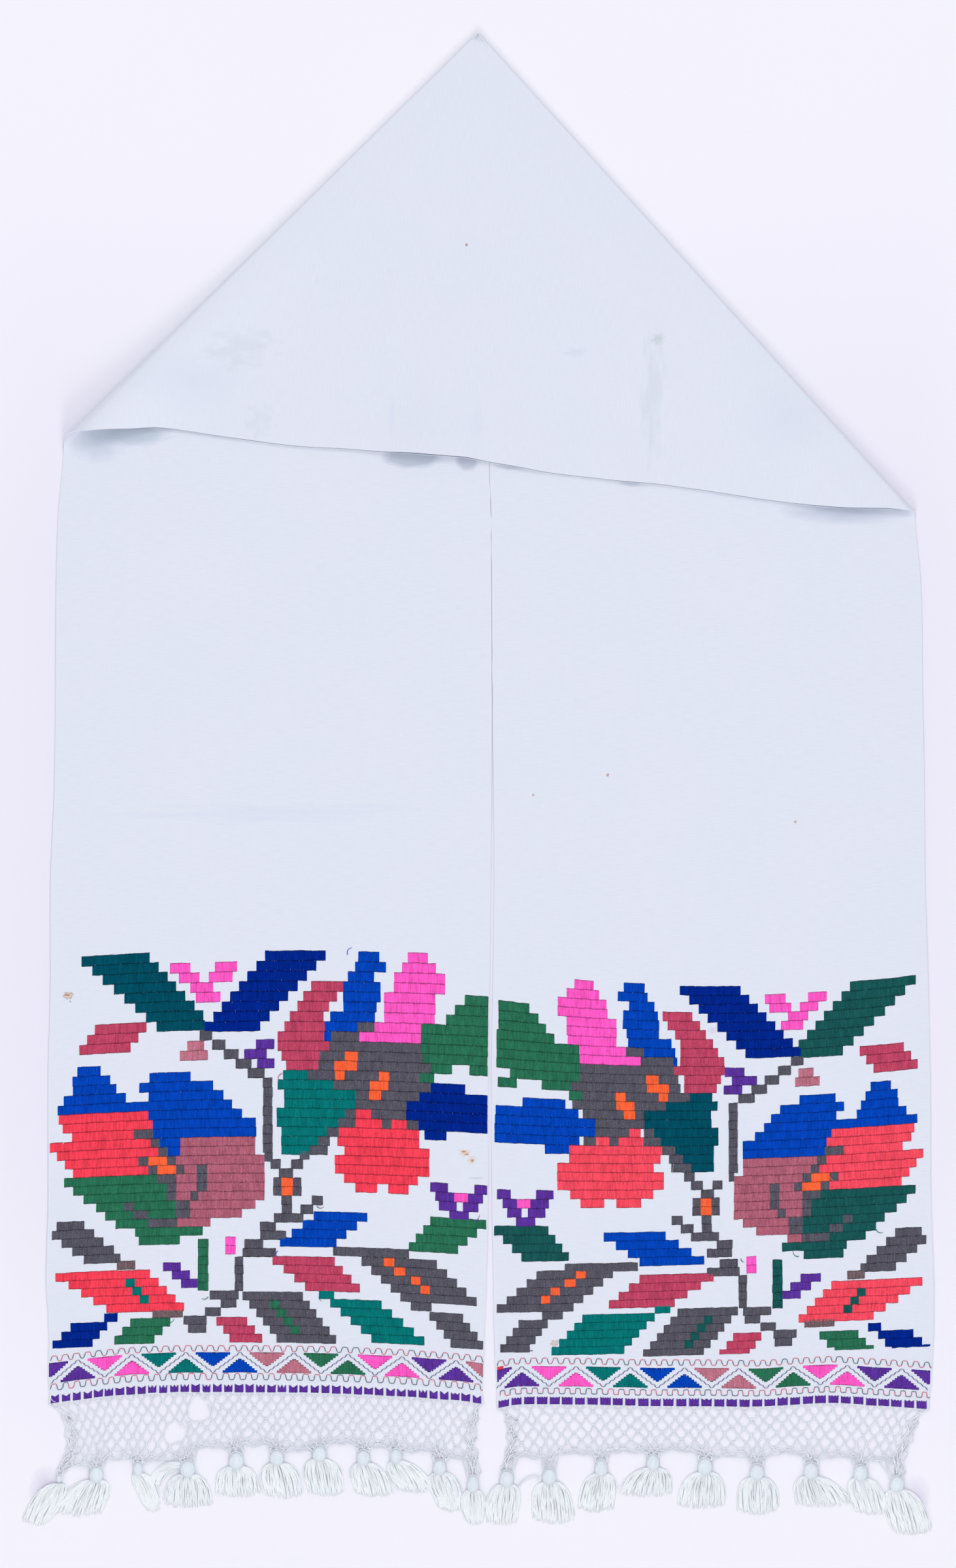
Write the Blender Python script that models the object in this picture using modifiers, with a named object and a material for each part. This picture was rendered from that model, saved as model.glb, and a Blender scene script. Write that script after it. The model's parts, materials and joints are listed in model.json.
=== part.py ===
"""A rushnyk: a long woven towel with net lace and yarn tassels, folded twice and laid flat.

The strip runs up as the left panel, turns over at the left diagonal fold, crosses the front with
its reverse side up, turns back under at the right diagonal fold and runs down as the right panel.
Metres, +Z up, the origin on the surface at the middle of the laid out shape, +Y towards the point
where the two folds meet.
"""

import math
from collections import namedtuple

import bmesh
import bpy

MM = 0.001
WELD_DISTANCE = 0.01 * MM

# The cloth
CLOTH_THICKNESS = 1.2 * MM
LAYER_GAP = 1.2 * MM
FINE_ROLL = (CLOTH_THICKNESS + LAYER_GAP) / 2
LEFT_CORNER_ROLL = 10.0 * MM
RIGHT_CORNER_ROLL = 4.0 * MM
ROLL_GROWTH = 3.0
ROLL_FLATTENS_OVER = 45.0 * MM
TURNING_STEPS = 12
DRIFT_POWER = 6
POINT = (-0.6 * MM, 689.7 * MM)
POINT_WIDTH = 5.0 * MM
LEFT_CORNER = (-373.2 * MM, 324.9 * MM)
RIGHT_CORNER = (397.8 * MM, 253.5 * MM)
STRIPS_ACROSS = 12
PANEL_ROWS = 16
ROW_EASING = 0.6
ROLL_ROWS = 6
FRONT_ROWS = 26

# The front's soft ridge between two faint troughs, and how far in a lifted edge reaches, both
# lengths along the front being shares of its width
RIDGE_X = -42.0 * MM
RIDGE_HALF_WIDTH = 44.0 * MM
RIDGE_HEIGHT = 2.2 * MM
RIDGE_REACH = 0.55
LIFT_REACH = 0.10

# The lace
LACE_THICKNESS = 1.2 * MM
SEAT_GAP = 0.3 * MM
NET_ENLARGED = 1.4
NET_BAR = 2.2 * MM
NET_MARGIN = 1.4 * MM
HEAD_SEAT_HALF_WIDTH = 3.2 * MM
SCALLOP_STEPS = 6
SCALLOP_SQUARENESS = 0.6
TEAR_SIDES = 10

# The tassels
HEAD_HEIGHT = 8.2 * MM
HEAD_CENTRE_Z = 3.3 * MM
HEAD_SIDES = 10
HEAD_RINGS = 7
STRAND_WIDTH = 1.8 * MM
STRAND_HEIGHT = 1.6 * MM
STRAND_FILL = 0.72
STRAND_ROOT_Z = 1.5 * MM
STRAND_STEPS = 3
ROOT_SPREAD = 0.7
ROOT_DEPTH = 0.24
BEND_ASIDE = 0.62
BEND_DOWN = 0.42
LOOK_AHEAD = 0.05
TIP_UNEVENNESS = 1.2 * MM
TIP_WAVE = 2.6

# Where each selvedge lies at a height, both panels, in millimetres
Level = namedtuple("Level", "y left_outer left_inner right_inner right_outer")
SELVEDGES = (
    Level(700, -378.0, -3.0, 1.8, 395.0),
    Level(500, -378.0, 3.0, 5.4, 395.0),
    Level(310, -378.0, 9.0, 10.2, 396.0),
    Level(250, -384.4, 11.0, 12.2, 399.6),
    Level(180, -386.0, 11.6, 12.9, 405.9),
    Level(90, -387.3, 11.9, 13.4, 407.4),
    Level(0, -388.8, 12.0, 14.1, 409.2),
    Level(-90, -392.5, 11.4, 14.6, 410.0),
    Level(-180, -392.6, 10.4, 13.4, 412.8),
    Level(-270, -394.8, 9.5, 12.2, 414.6),
    Level(-380, -394.6, 9.0, 12.7, 415.4),
    Level(-450, -396.6, 7.5, 13.7, 417.7),
    Level(-500, -394.2, 5.7, 14.5, 417.8),
    Level(-550, -394.2, 4.2, 16.6, 415.4),
    Level(-575, -389.0, 0.4, 18.0, 412.0),
)

# Where each hem lies, by the share of the width out from the inner selvedge, in millimetres
Hem = namedtuple("Hem", "across left_y right_y")
HEMS = (
    Hem(0.00, -566.7, -570.8),
    Hem(0.05, -564.3, -567.8),
    Hem(0.20, -560.0, -567.9),
    Hem(0.35, -557.6, -569.0),
    Hem(0.50, -556.5, -569.1),
    Hem(0.60, -556.4, -569.7),
    Hem(0.70, -556.5, -567.3),
    Hem(0.77, -557.5, -566.1),
    Hem(0.85, -559.6, -567.9),
    Hem(1.00, -566.6, -571.6),
)

# The front layer's free edge: where it lies and how far it lifts off the panels, in millimetres
Edge = namedtuple("Edge", "x y lift")
FRONT_EDGE = (
    Edge(-354.0, 328.9, 0.0),
    Edge(-322.8, 327.9, 0.0),
    Edge(-292.2, 329.7, 0.4),
    Edge(-231.6, 321.3, 0.5),
    Edge(-167.4, 312.9, 0.4),
    Edge(-124.8, 310.5, 0.6),
    Edge(-87.0, 307.5, 1.5),
    Edge(-66.0, 306.5, 4.8),
    Edge(-46.8, 305.1, 4.6),
    Edge(-26.0, 303.6, 2.6),
    Edge(-12.0, 302.4, 4.2),
    Edge(6.0, 299.0, 0.6),
    Edge(38.0, 293.4, 1.8),
    Edge(66.0, 288.3, 0.5),
    Edge(120.0, 282.0, 0.4),
    Edge(140.0, 279.9, 2.2),
    Edge(162.0, 278.3, 0.4),
    Edge(216.0, 270.9, 0.3),
    Edge(267.0, 263.1, 0.5),
    Edge(331.8, 256.5, 2.0),
    Edge(390.6, 255.4, 0.5),
)

# The lace's sides, below the hems, in millimetres
LACE_SIDES = (
    Level(-570, -387.0, 1.2, 21.5, 409.0),
    Level(-578, -382.5, 0.6, 24.0, 405.0),
    Level(-588, -380.0, -1.0, 25.0, 402.5),
    Level(-603, -378.5, -1.5, 26.0, 397.5),
    Level(-617, -379.5, 0.8, 23.0, 392.2),
    Level(-630, -389.5, 2.4, 20.5, 391.8),
)

# The knotted net: how many cells it has across, and how far apart its rows are in millimetres.
# The solids' cells are larger than these by NET_ENLARGED, both ways.
Net = namedtuple("Net", "side cells_across row_step")
NETS = (
    Net("left", 40, 6.5),
    Net("right", 34, 6.9),
)

# The torn places of the left lace, in millimetres
Tear = namedtuple("Tear", "x y half_width half_height")
TEARS = (
    Tear(-256.5, -571.6, 9.5, 11.6),
    Tear(-277.5, -593.4, 8.7, 7.6),
)

# Each tassel: its head, how its strands fan out, and how high the lace's scallop goes to its
# right, in millimetres
Tassel = namedtuple("Tassel", "side x y width length strands tip_left tip_right tip_y scallop_y")
TASSELS = (
    Tassel("left", -384.5, -635.0, 12.0, 15.0, 8, -417.2, -394.0, -677.5, -624.0),
    Tassel("left", -350.4, -631.2, 14.4, 15.6, 11, -387.0, -345.0, -670.0, -616.3),
    Tassel("left", -312.3, -625.9, 10.0, 14.0, 7, -305.0, -293.0, -665.0, -619.5),
    Tassel("left", -266.7, -625.9, 15.0, 16.0, 11, -287.5, -245.2, -662.0, -606.5),
    Tassel("left", -222.0, -618.5, 15.0, 16.5, 11, -240.5, -202.0, -652.0, -604.6),
    Tassel("left", -184.9, -615.8, 14.4, 15.6, 10, -196.0, -160.4, -653.0, -611.0),
    Tassel("left", -145.8, -612.2, 14.4, 15.0, 10, -155.4, -124.0, -651.0, -604.0),
    Tassel("left", -105.4, -615.8, 13.2, 15.0, 10, -112.8, -79.5, -652.0, -607.0),
    Tassel("left", -75.6, -614.3, 12.0, 14.4, 9, -73.6, -40.8, -648.0, -610.5),
    Tassel("left", -35.6, -624.5, 13.8, 15.0, 9, -35.4, -15.0, -665.0, -617.5),
    Tassel("left", -5.0, -639.8, 12.0, 16.8, 8, -10.4, 3.4, -677.0, None),
    Tassel("right", 26.0, -635.1, 14.4, 16.2, 9, 8.2, 34.6, -677.5, -615.3),
    Tassel("right", 65.0, -632.9, 14.4, 15.6, 11, 51.0, 87.0, -676.5, -612.4),
    Tassel("right", 112.7, -625.1, 13.2, 16.2, 11, 92.0, 124.0, -665.5, -611.0),
    Tassel("right", 160.2, -620.1, 13.2, 15.6, 11, 128.6, 178.0, -652.0, -610.0),
    Tassel("right", 208.0, -623.7, 15.0, 16.2, 11, 182.6, 225.6, -662.5, -615.0),
    Tassel("right", 255.6, -629.0, 14.4, 15.6, 10, 239.2, 274.8, -668.0, -612.5),
    Tassel("right", 305.2, -627.7, 15.0, 16.2, 11, 292.8, 341.6, -661.5, -615.3),
    Tassel("right", 350.7, -629.7, 14.4, 15.6, 10, 346.4, 375.8, -668.0, -618.0),
    Tassel("right", 384.0, -639.9, 14.4, 15.6, 10, 380.6, 416.0, -686.5, None),
)

Finish = namedtuple("Finish", "name colour roughness")
FINISHES = (
    Finish("linen", (0.75, 0.82, 0.91, 1.0), 0.9),
    Finish("lace_cord", (0.86, 0.88, 0.90, 1.0), 0.85),
    Finish("tassel_yarn", (0.80, 0.88, 0.93, 1.0), 0.8),
)


def clear_scene():
    for item in list(bpy.data.objects):
        bpy.data.objects.remove(item, do_unlink=True)


def make_materials():
    """One Principled material for each finish, by name."""
    made = {}
    for finish in FINISHES:
        material = bpy.data.materials.new(finish.name)
        material.use_nodes = True
        shader = material.node_tree.nodes["Principled BSDF"]
        shader.inputs["Base Color"].default_value = finish.colour
        shader.inputs["Roughness"].default_value = finish.roughness
        shader.inputs["Metallic"].default_value = 0.0
        made[finish.name] = material
    return made


def make_collection(name):
    collection = bpy.data.collections.new(name)
    bpy.context.scene.collection.children.link(collection)
    return collection


def smooth_through(points, at):
    """The value at a place on a smooth curve through (place, value) points in rising order of place."""
    if at <= points[0][0]:
        return points[0][1]
    if at >= points[-1][0]:
        return points[-1][1]
    last = len(points) - 1
    start = max(i for i in range(last) if points[i][0] <= at)

    def slope(i):
        before, after = points[max(i - 1, 0)], points[min(i + 1, last)]
        return (after[1] - before[1]) / (after[0] - before[0])

    (x0, y0), (x1, y1) = points[start], points[start + 1]
    span = x1 - x0
    t = (at - x0) / span
    return (
        (2 * t**3 - 3 * t**2 + 1) * y0
        + (t**3 - 2 * t**2 + t) * span * slope(start)
        + (3 * t**2 - 2 * t**3) * y1
        + (t**3 - t**2) * span * slope(start + 1)
    )


def column(table, place, value):
    """The (place, value) points of two named columns of a table in millimetres, in metres and rising."""
    return sorted((getattr(row, place) * MM, getattr(row, value) * MM) for row in table)


SELVEDGE = {name: column(SELVEDGES, "y", name) for name in Level._fields[1:]}
LACE_SIDE = {name: column(LACE_SIDES, "y", name) for name in Level._fields[1:]}
HEM = {
    "left": sorted((row.across, row.left_y * MM) for row in HEMS),
    "right": sorted((row.across, row.right_y * MM) for row in HEMS),
}
EDGE_Y = column(FRONT_EDGE, "x", "y")
EDGE_LIFT = column(FRONT_EDGE, "x", "lift")


def mix(a, b, t):
    return a + (b - a) * t


def mesh_of_curve(curve, name, collection, lift=0.0):
    """A closed mesh object made from a curve, its loose caps welded on, lifted by a height."""
    guide = bpy.data.objects.new(name + "_curve", curve)
    guide.location.z = lift
    collection.objects.link(guide)
    bpy.context.view_layer.update()
    graph = bpy.context.evaluated_depsgraph_get()
    mesh = bpy.data.meshes.new_from_object(guide.evaluated_get(graph))
    mesh.transform(guide.matrix_world)
    mesh.name = name
    bpy.data.objects.remove(guide, do_unlink=True)
    weld = bmesh.new()
    weld.from_mesh(mesh)
    bmesh.ops.remove_doubles(weld, verts=weld.verts, dist=WELD_DISTANCE)
    bmesh.ops.recalc_face_normals(weld, faces=weld.faces)
    weld.to_mesh(mesh)
    weld.free()
    made = bpy.data.objects.new(name, mesh)
    collection.objects.link(made)
    return made


def bell(distance, width):
    return math.exp(-((distance / width) ** 2))


class Fold:
    """One diagonal fold, from the point where both folds meet to the corner at the outer selvedge."""

    def __init__(self, side):
        self.side = side
        self.turn = 1.0 if side == "left" else -1.0
        corner = LEFT_CORNER if side == "left" else RIGHT_CORNER
        self.corner_roll = LEFT_CORNER_ROLL if side == "left" else RIGHT_CORNER_ROLL
        self.top = (POINT[0] - self.turn * POINT_WIDTH / 2, POINT[1])
        run, rise = self.top[0] - corner[0], self.top[1] - corner[1]
        length = math.hypot(run, rise)
        self.slope = rise / run
        self.up = (run / length, rise / length)
        self.out = (-self.turn * rise / length, self.turn * run / length)

    def selvedge_x(self, across, y):
        """The x of a lengthwise thread, by its share of the width out from the inner selvedge."""
        inner = smooth_through(SELVEDGE[self.side + "_inner"], y)
        outer = smooth_through(SELVEDGE[self.side + "_outer"], y)
        return mix(inner, outer, across)

    def roll(self, across):
        """The fold is creased at its point, and a loose roll at the corner."""
        return FINE_ROLL + (self.corner_roll - FINE_ROLL) * across**ROLL_GROWTH

    def turning_place(self, across):
        """Where a lengthwise thread crosses the fold's outline, by stepping between thread and fold."""
        y = self.top[1]
        for _ in range(TURNING_STEPS):
            x = self.selvedge_x(across, y)
            y = self.top[1] + (x - self.top[0]) * self.slope
        return x, y

    def on_roll(self, across, turned):
        """A point of the roll, for turned from 0 on the panel's side to 1 on the front's side."""
        radius = self.roll(across)
        x, y = self.turning_place(across)
        angle = math.pi * turned
        outwards = radius * (math.sin(angle) - 1)
        along = math.pi * radius * (turned - 0.5)
        return (
            x + self.out[0] * outwards + self.up[0] * along,
            y + self.out[1] * outwards + self.up[1] * along,
            CLOTH_THICKNESS / 2 + radius * (1 - math.cos(angle)),
        )


LEFT_FOLD = Fold("left")
RIGHT_FOLD = Fold("right")


def eased(t):
    """Rows lie closer together at both ends of a panel, where its outline turns."""
    return mix(t, (1 - math.cos(math.pi * t)) / 2, ROW_EASING)


def on_panel(fold, across, up):
    """A point of a panel, for up from 0 at the hem to 1 where the roll begins.

    Its threads drift aside near the fold, to meet those of the roll.
    """
    hem_y = smooth_through(HEM[fold.side], across)
    end_x, end_y, _ = fold.on_roll(across, 0.0)
    y = mix(hem_y, end_y, up)
    x = fold.selvedge_x(across, y)
    drift = end_x - fold.selvedge_x(across, end_y)
    return x + drift * up**DRIFT_POWER, y, CLOTH_THICKNESS / 2


def on_front(across, along):
    """A point of the front layer, for along from 0 at the left fold to 1 at the right fold."""
    start = LEFT_FOLD.on_roll(across, 1.0)
    end = RIGHT_FOLD.on_roll(across, 1.0)
    x = mix(start[0], end[0], along)
    y = mix(start[1], end[1], along)

    edge_start, edge_end = LEFT_FOLD.on_roll(1.0, 1.0), RIGHT_FOLD.on_roll(1.0, 1.0)
    edge_x = mix(edge_start[0], edge_end[0], along)
    bow = smooth_through(EDGE_Y, edge_x) - mix(edge_start[1], edge_end[1], along)
    y += bow * across**2

    flat = CLOTH_THICKNESS / 2 + 2 * FINE_ROLL
    length = math.hypot(end[0] - start[0], end[1] - start[1])
    raised = (start[2] - flat) * bell(along * length, ROLL_FLATTENS_OVER)
    raised += (end[2] - flat) * bell((1 - along) * length, ROLL_FLATTENS_OVER)
    near_fold = min(1.0, min(along, 1 - along) * length / ROLL_FLATTENS_OVER)
    lift = smooth_through(EDGE_LIFT, edge_x) * bell(1 - across, LIFT_REACH)
    ridge = RIDGE_HEIGHT * bell(x - RIDGE_X, RIDGE_HALF_WIDTH) * bell(1 - across, RIDGE_REACH)
    return x, y, flat + raised + (lift + ridge) * near_fold


def on_cloth(across, row):
    """A point on the middle of the cloth's thickness, by its share of the width and its row."""
    if row <= PANEL_ROWS:
        return on_panel(LEFT_FOLD, across, eased(row / PANEL_ROWS))
    row -= PANEL_ROWS
    if row <= ROLL_ROWS:
        return LEFT_FOLD.on_roll(across, row / ROLL_ROWS)
    row -= ROLL_ROWS
    if row <= FRONT_ROWS:
        return on_front(across, row / FRONT_ROWS)
    row -= FRONT_ROWS
    if row <= ROLL_ROWS:
        return RIGHT_FOLD.on_roll(across, 1 - row / ROLL_ROWS)
    row -= ROLL_ROWS
    return on_panel(RIGHT_FOLD, across, eased(1 - row / PANEL_ROWS))


def make_cloth(collection, material):
    """A flat grid, its points carried to their folded places, made solid."""
    rows = 2 * PANEL_ROWS + 2 * ROLL_ROWS + FRONT_ROWS
    grid = bmesh.new()
    bmesh.ops.create_grid(grid, x_segments=STRIPS_ACROSS, y_segments=rows, size=0.5)
    for vertex in grid.verts:
        across = round((vertex.co.x + 0.5) * STRIPS_ACROSS) / STRIPS_ACROSS
        row = round((vertex.co.y + 0.5) * rows)
        vertex.co = on_cloth(across, row)
    bmesh.ops.recalc_face_normals(grid, faces=grid.faces)
    mesh = bpy.data.meshes.new("cloth")
    grid.to_mesh(mesh)
    grid.free()
    mesh.shade_smooth()
    mesh.materials.append(material)
    cloth = bpy.data.objects.new("cloth", mesh)
    collection.objects.link(cloth)
    solid = cloth.modifiers.new("thickness", "SOLIDIFY")
    solid.thickness = CLOTH_THICKNESS
    solid.offset = 0.0
    solid.use_even_offset = True
    return cloth


def head_reach(tassel):
    """How far a head reaches up at the lace's top face, where it is seated."""
    share = (HEAD_CENTRE_Z - LACE_THICKNESS) / (HEAD_HEIGHT - HEAD_CENTRE_Z)
    return tassel.length * MM / 2 * math.sqrt(1 - share**2)


def hem_points(side):
    """The lace's upper edge, parallel to the hem, from the lower x to the higher."""
    fold = LEFT_FOLD if side == "left" else RIGHT_FOLD
    points = []
    for i in range(STRIPS_ACROSS + 1):
        across = i / STRIPS_ACROSS
        y = smooth_through(HEM[side], across)
        points.append((fold.selvedge_x(across, y), y - SEAT_GAP))
    return sorted(points)


def lower_points(side):
    """The lace's lower edge: a seat over each tassel's head and a scallop between two, from the lower x."""
    own = [t for t in TASSELS if t.side == side]
    points = []
    for tassel, following in zip(own, own[1:] + [None]):
        seat_y = tassel.y * MM + head_reach(tassel) + SEAT_GAP
        points += [(tassel.x * MM + s * HEAD_SEAT_HALF_WIDTH, seat_y) for s in (-1, 1)]
        if following is None:
            break
        start = (tassel.x * MM + HEAD_SEAT_HALF_WIDTH, seat_y)
        end_y = following.y * MM + head_reach(following) + SEAT_GAP
        end = (following.x * MM - HEAD_SEAT_HALF_WIDTH, end_y)
        for i in range(1, SCALLOP_STEPS):
            t = i / SCALLOP_STEPS
            rise = math.sin(math.pi * t) ** SCALLOP_SQUARENESS
            base = mix(start[1], end[1], t)
            points.append((mix(start[0], end[0], t), mix(base, tassel.scallop_y * MM, rise)))
    return points


def height_at(points, x):
    """The y of a line of points in rising order of x."""
    for (x0, y0), (x1, y1) in zip(points, points[1:]):
        if x0 <= x <= x1:
            return mix(y0, y1, (x - x0) / (x1 - x0))
    return points[0][1] if x < points[0][0] else points[-1][1]


def side_names(side):
    """The lace's side edges, the one at the lower x first."""
    names = ("outer", "inner") if side == "left" else ("inner", "outer")
    return [f"{side}_{name}" for name in names]


def torn_away(x, y, half_width, half_height):
    """Whether a cell of the left net would meet a torn place."""
    for tear in TEARS:
        aside = (x - tear.x * MM) / (tear.half_width * MM + half_width)
        above = (y - tear.y * MM) / (tear.half_height * MM + half_height)
        if math.hypot(aside, above) < 1:
            return True
    return False


def net_cells(net, upper, lower):
    """The diamonds cut through the lace, in rows that follow its hem and columns that follow its sides."""
    low_side, high_side = side_names(net.side)
    width = upper[-1][0] - upper[0][0]
    columns = round(net.cells_across / NET_ENLARGED)
    cell, step = width / columns, net.row_step * NET_ENLARGED * MM
    shrink = 1 - NET_BAR / 2 * math.hypot(cell / 2, step) / (cell / 2 * step)
    half_width, half_height = cell / 2 * shrink, step * shrink

    def place(share, depth):
        y = height_at(upper, mix(upper[0][0], upper[-1][0], share)) - depth
        low, high = smooth_through(LACE_SIDE[low_side], y), smooth_through(LACE_SIDE[high_side], y)
        return mix(low, high, share), y

    cells = []
    depth, row = NET_MARGIN + half_height, 0
    while upper[0][1] - depth > lower[0][1]:
        for number in range(columns):
            share = (number + (0.5 if row % 2 == 0 else 1.0)) / columns
            aside = half_width / width
            corners = [
                place(share - aside, depth),
                place(share, depth - half_height),
                place(share + aside, depth),
                place(share, depth + half_height),
            ]
            held = all(y - NET_MARGIN > height_at(lower, x) for x, y in corners) and share + aside < 1
            torn = net.side == "left" and torn_away(*place(share, depth), half_width, half_height)
            if held and not torn:
                cells.append(corners)
        depth += step
        row += 1
    return cells


def tear_outline(tear):
    return [
        (
            tear.x * MM + tear.half_width * MM * math.cos(2 * math.pi * i / TEAR_SIDES),
            tear.y * MM - tear.half_height * MM * math.sin(2 * math.pi * i / TEAR_SIDES),
        )
        for i in range(TEAR_SIDES)
    ]


def make_lace(net, collection, material):
    """A flat outline with its meshes cut through."""
    upper, lower = hem_points(net.side), lower_points(net.side)
    low_edge, high_edge = ([(x, y) for y, x in LACE_SIDE[name]] for name in side_names(net.side))
    outline = lower + high_edge + upper[::-1] + low_edge[::-1]
    rings = [outline] + net_cells(net, upper, lower)
    if net.side == "left":
        rings += [tear_outline(tear) for tear in TEARS]

    curve = bpy.data.curves.new("lace_" + net.side, "CURVE")
    curve.dimensions = "2D"
    curve.fill_mode = "BOTH"
    curve.extrude = LACE_THICKNESS / 2
    for ring in rings:
        spline = curve.splines.new("POLY")
        spline.points.add(len(ring) - 1)
        for point, (x, y) in zip(spline.points, ring):
            point.co = (x, y, 0.0, 1.0)
        spline.use_cyclic_u = True
    curve.materials.append(material)
    return mesh_of_curve(curve, "lace_" + net.side, collection, lift=LACE_THICKNESS / 2)


def make_strand_profile(collection):
    """The strands' section: a triangle that stands on its flat side."""
    corners = ((-STRAND_WIDTH / 2, 0.0), (STRAND_WIDTH / 2, 0.0), (0.0, STRAND_HEIGHT))
    curve = bpy.data.curves.new("strand_profile", "CURVE")
    curve.dimensions = "2D"
    spline = curve.splines.new("POLY")
    spline.points.add(len(corners) - 1)
    for point, (x, y) in zip(spline.points, corners):
        point.co = (x, y, 0.0, 1.0)
    spline.use_cyclic_u = True
    profile = bpy.data.objects.new("strand_profile", curve)
    profile.hide_render = True
    profile.display_type = "WIRE"
    collection.objects.link(profile)
    return profile


def on_strand(tassel, number, t):
    """A place on a strand's way over the surface, for t from 0 in the head to 1 at its tip."""
    share = number / (tassel.strands - 1)
    aside = (share - 0.5) * tassel.width * ROOT_SPREAD
    root = (tassel.x + aside, tassel.y - tassel.length * ROOT_DEPTH)
    tip = (mix(tassel.tip_left, tassel.tip_right, share), tassel.tip_y)
    bend = (mix(root[0], tip[0], BEND_ASIDE), mix(root[1], tip[1], BEND_DOWN))
    weights = ((1 - t) ** 2, 2 * t * (1 - t), t**2)
    return tuple(sum(w * p[i] for w, p in zip(weights, (root, bend, tip))) * MM for i in (0, 1))


def strand_scale(tassel, number, t):
    """A strand is as wide as the room between its neighbours lets it be, so all of them stand apart."""
    here, ahead = on_strand(tassel, number, t), on_strand(tassel, number, t + LOOK_AHEAD)
    run, rise = ahead[0] - here[0], ahead[1] - here[1]
    beside = on_strand(tassel, number - 1 if number else 1, t)
    room = abs(run * (beside[1] - here[1]) - rise * (beside[0] - here[0])) / math.hypot(run, rise)
    return min(1.0, room * STRAND_FILL / STRAND_WIDTH)


def strand_points(tassel, number):
    """A strand's points, each with its scale: down out of the head and over the surface to its tip."""
    points = []
    for i in range(STRAND_STEPS + 1):
        t = i / STRAND_STEPS
        x, y = on_strand(tassel, number, t)
        if i == STRAND_STEPS:
            y += TIP_UNEVENNESS * math.sin(TIP_WAVE * number + tassel.x)
        points.append((x, y, STRAND_ROOT_Z if i == 0 else 0.0, strand_scale(tassel, number, t)))
    return points


def make_strands(name, tassel, profile, collection):
    """All the strands of one tassel, as one mesh that its head is joined with."""
    curve = bpy.data.curves.new(name, "CURVE")
    curve.dimensions = "3D"
    curve.twist_mode = "Z_UP"
    curve.bevel_mode = "OBJECT"
    curve.bevel_object = profile
    curve.use_fill_caps = True
    for number in range(tassel.strands):
        route = strand_points(tassel, number)
        spline = curve.splines.new("POLY")
        spline.points.add(len(route) - 1)
        for point, (x, y, z, scale) in zip(spline.points, route):
            point.co = (x, y, z, 1.0)
            point.radius = scale
    strands = mesh_of_curve(curve, name, collection)
    strands.hide_render = True
    strands.display_type = "WIRE"
    return strands


def make_head(name, tassel, collection, material):
    """A ball of yarn, a little taller than wide, settled flat where it lies on the surface."""
    ball = bmesh.new()
    bmesh.ops.create_uvsphere(ball, u_segments=HEAD_SIDES, v_segments=HEAD_RINGS, radius=1.0)
    half_height = HEAD_HEIGHT - HEAD_CENTRE_Z
    for vertex in ball.verts:
        x = tassel.x * MM + vertex.co.x * tassel.width / 2 * MM
        y = tassel.y * MM + vertex.co.z * tassel.length / 2 * MM
        z = HEAD_CENTRE_Z + vertex.co.y * half_height
        vertex.co = (x, y, max(z, 0.0))
    bmesh.ops.recalc_face_normals(ball, faces=ball.faces)
    mesh = bpy.data.meshes.new(name)
    ball.to_mesh(mesh)
    ball.free()
    mesh.shade_smooth()
    mesh.materials.append(material)
    head = bpy.data.objects.new(name, mesh)
    collection.objects.link(head)
    return head


def make_tassels(collection, helpers, material):
    profile = make_strand_profile(helpers)
    counts = {"left": 0, "right": 0}
    for tassel in TASSELS:
        counts[tassel.side] += 1
        name = f"tassel_{tassel.side}_{counts[tassel.side]:02d}"
        head = make_head(name, tassel, collection, material)
        strands = make_strands(name + "_strands", tassel, profile, helpers)
        join = head.modifiers.new("strands", "BOOLEAN")
        join.operation = "UNION"
        join.object = strands


def main():
    clear_scene()
    materials = make_materials()
    parts = make_collection("rushnyk")
    helpers = make_collection("helpers")
    make_cloth(parts, materials["linen"])
    for net in NETS:
        make_lace(net, parts, materials["lace_cord"])
    make_tassels(parts, helpers, materials["tassel_yarn"])


main()
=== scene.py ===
"""The looks of a rushnyk: a long woven towel, folded twice and laid flat, with counted satin
stitch, a stitched border, knotted net lace and yarn tassels.

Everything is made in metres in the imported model's frame: +Z up from the surface, +Y towards the
point where the two folds meet. The tables are in millimetres, or in counts of the stitch chart.
"""

import json
import math
import random
from collections import namedtuple
from functools import lru_cache

import bmesh
import bpy
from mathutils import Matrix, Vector, noise

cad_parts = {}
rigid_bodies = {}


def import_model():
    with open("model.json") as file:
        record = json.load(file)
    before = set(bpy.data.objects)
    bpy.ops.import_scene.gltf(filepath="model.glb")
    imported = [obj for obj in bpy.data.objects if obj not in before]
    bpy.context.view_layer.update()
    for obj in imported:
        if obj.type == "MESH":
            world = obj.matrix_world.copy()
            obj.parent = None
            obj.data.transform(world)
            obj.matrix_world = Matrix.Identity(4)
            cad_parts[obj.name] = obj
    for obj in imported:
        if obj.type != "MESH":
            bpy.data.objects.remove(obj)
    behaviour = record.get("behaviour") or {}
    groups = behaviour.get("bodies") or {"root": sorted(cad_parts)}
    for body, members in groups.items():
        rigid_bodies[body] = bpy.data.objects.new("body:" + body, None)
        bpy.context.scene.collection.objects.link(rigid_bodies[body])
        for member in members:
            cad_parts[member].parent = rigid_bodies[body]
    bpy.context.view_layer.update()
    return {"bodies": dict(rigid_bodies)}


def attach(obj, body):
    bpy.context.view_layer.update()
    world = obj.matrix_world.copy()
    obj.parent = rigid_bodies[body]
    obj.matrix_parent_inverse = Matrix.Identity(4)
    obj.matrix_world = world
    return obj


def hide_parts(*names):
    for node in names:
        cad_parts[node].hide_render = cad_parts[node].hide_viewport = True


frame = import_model()

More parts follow.
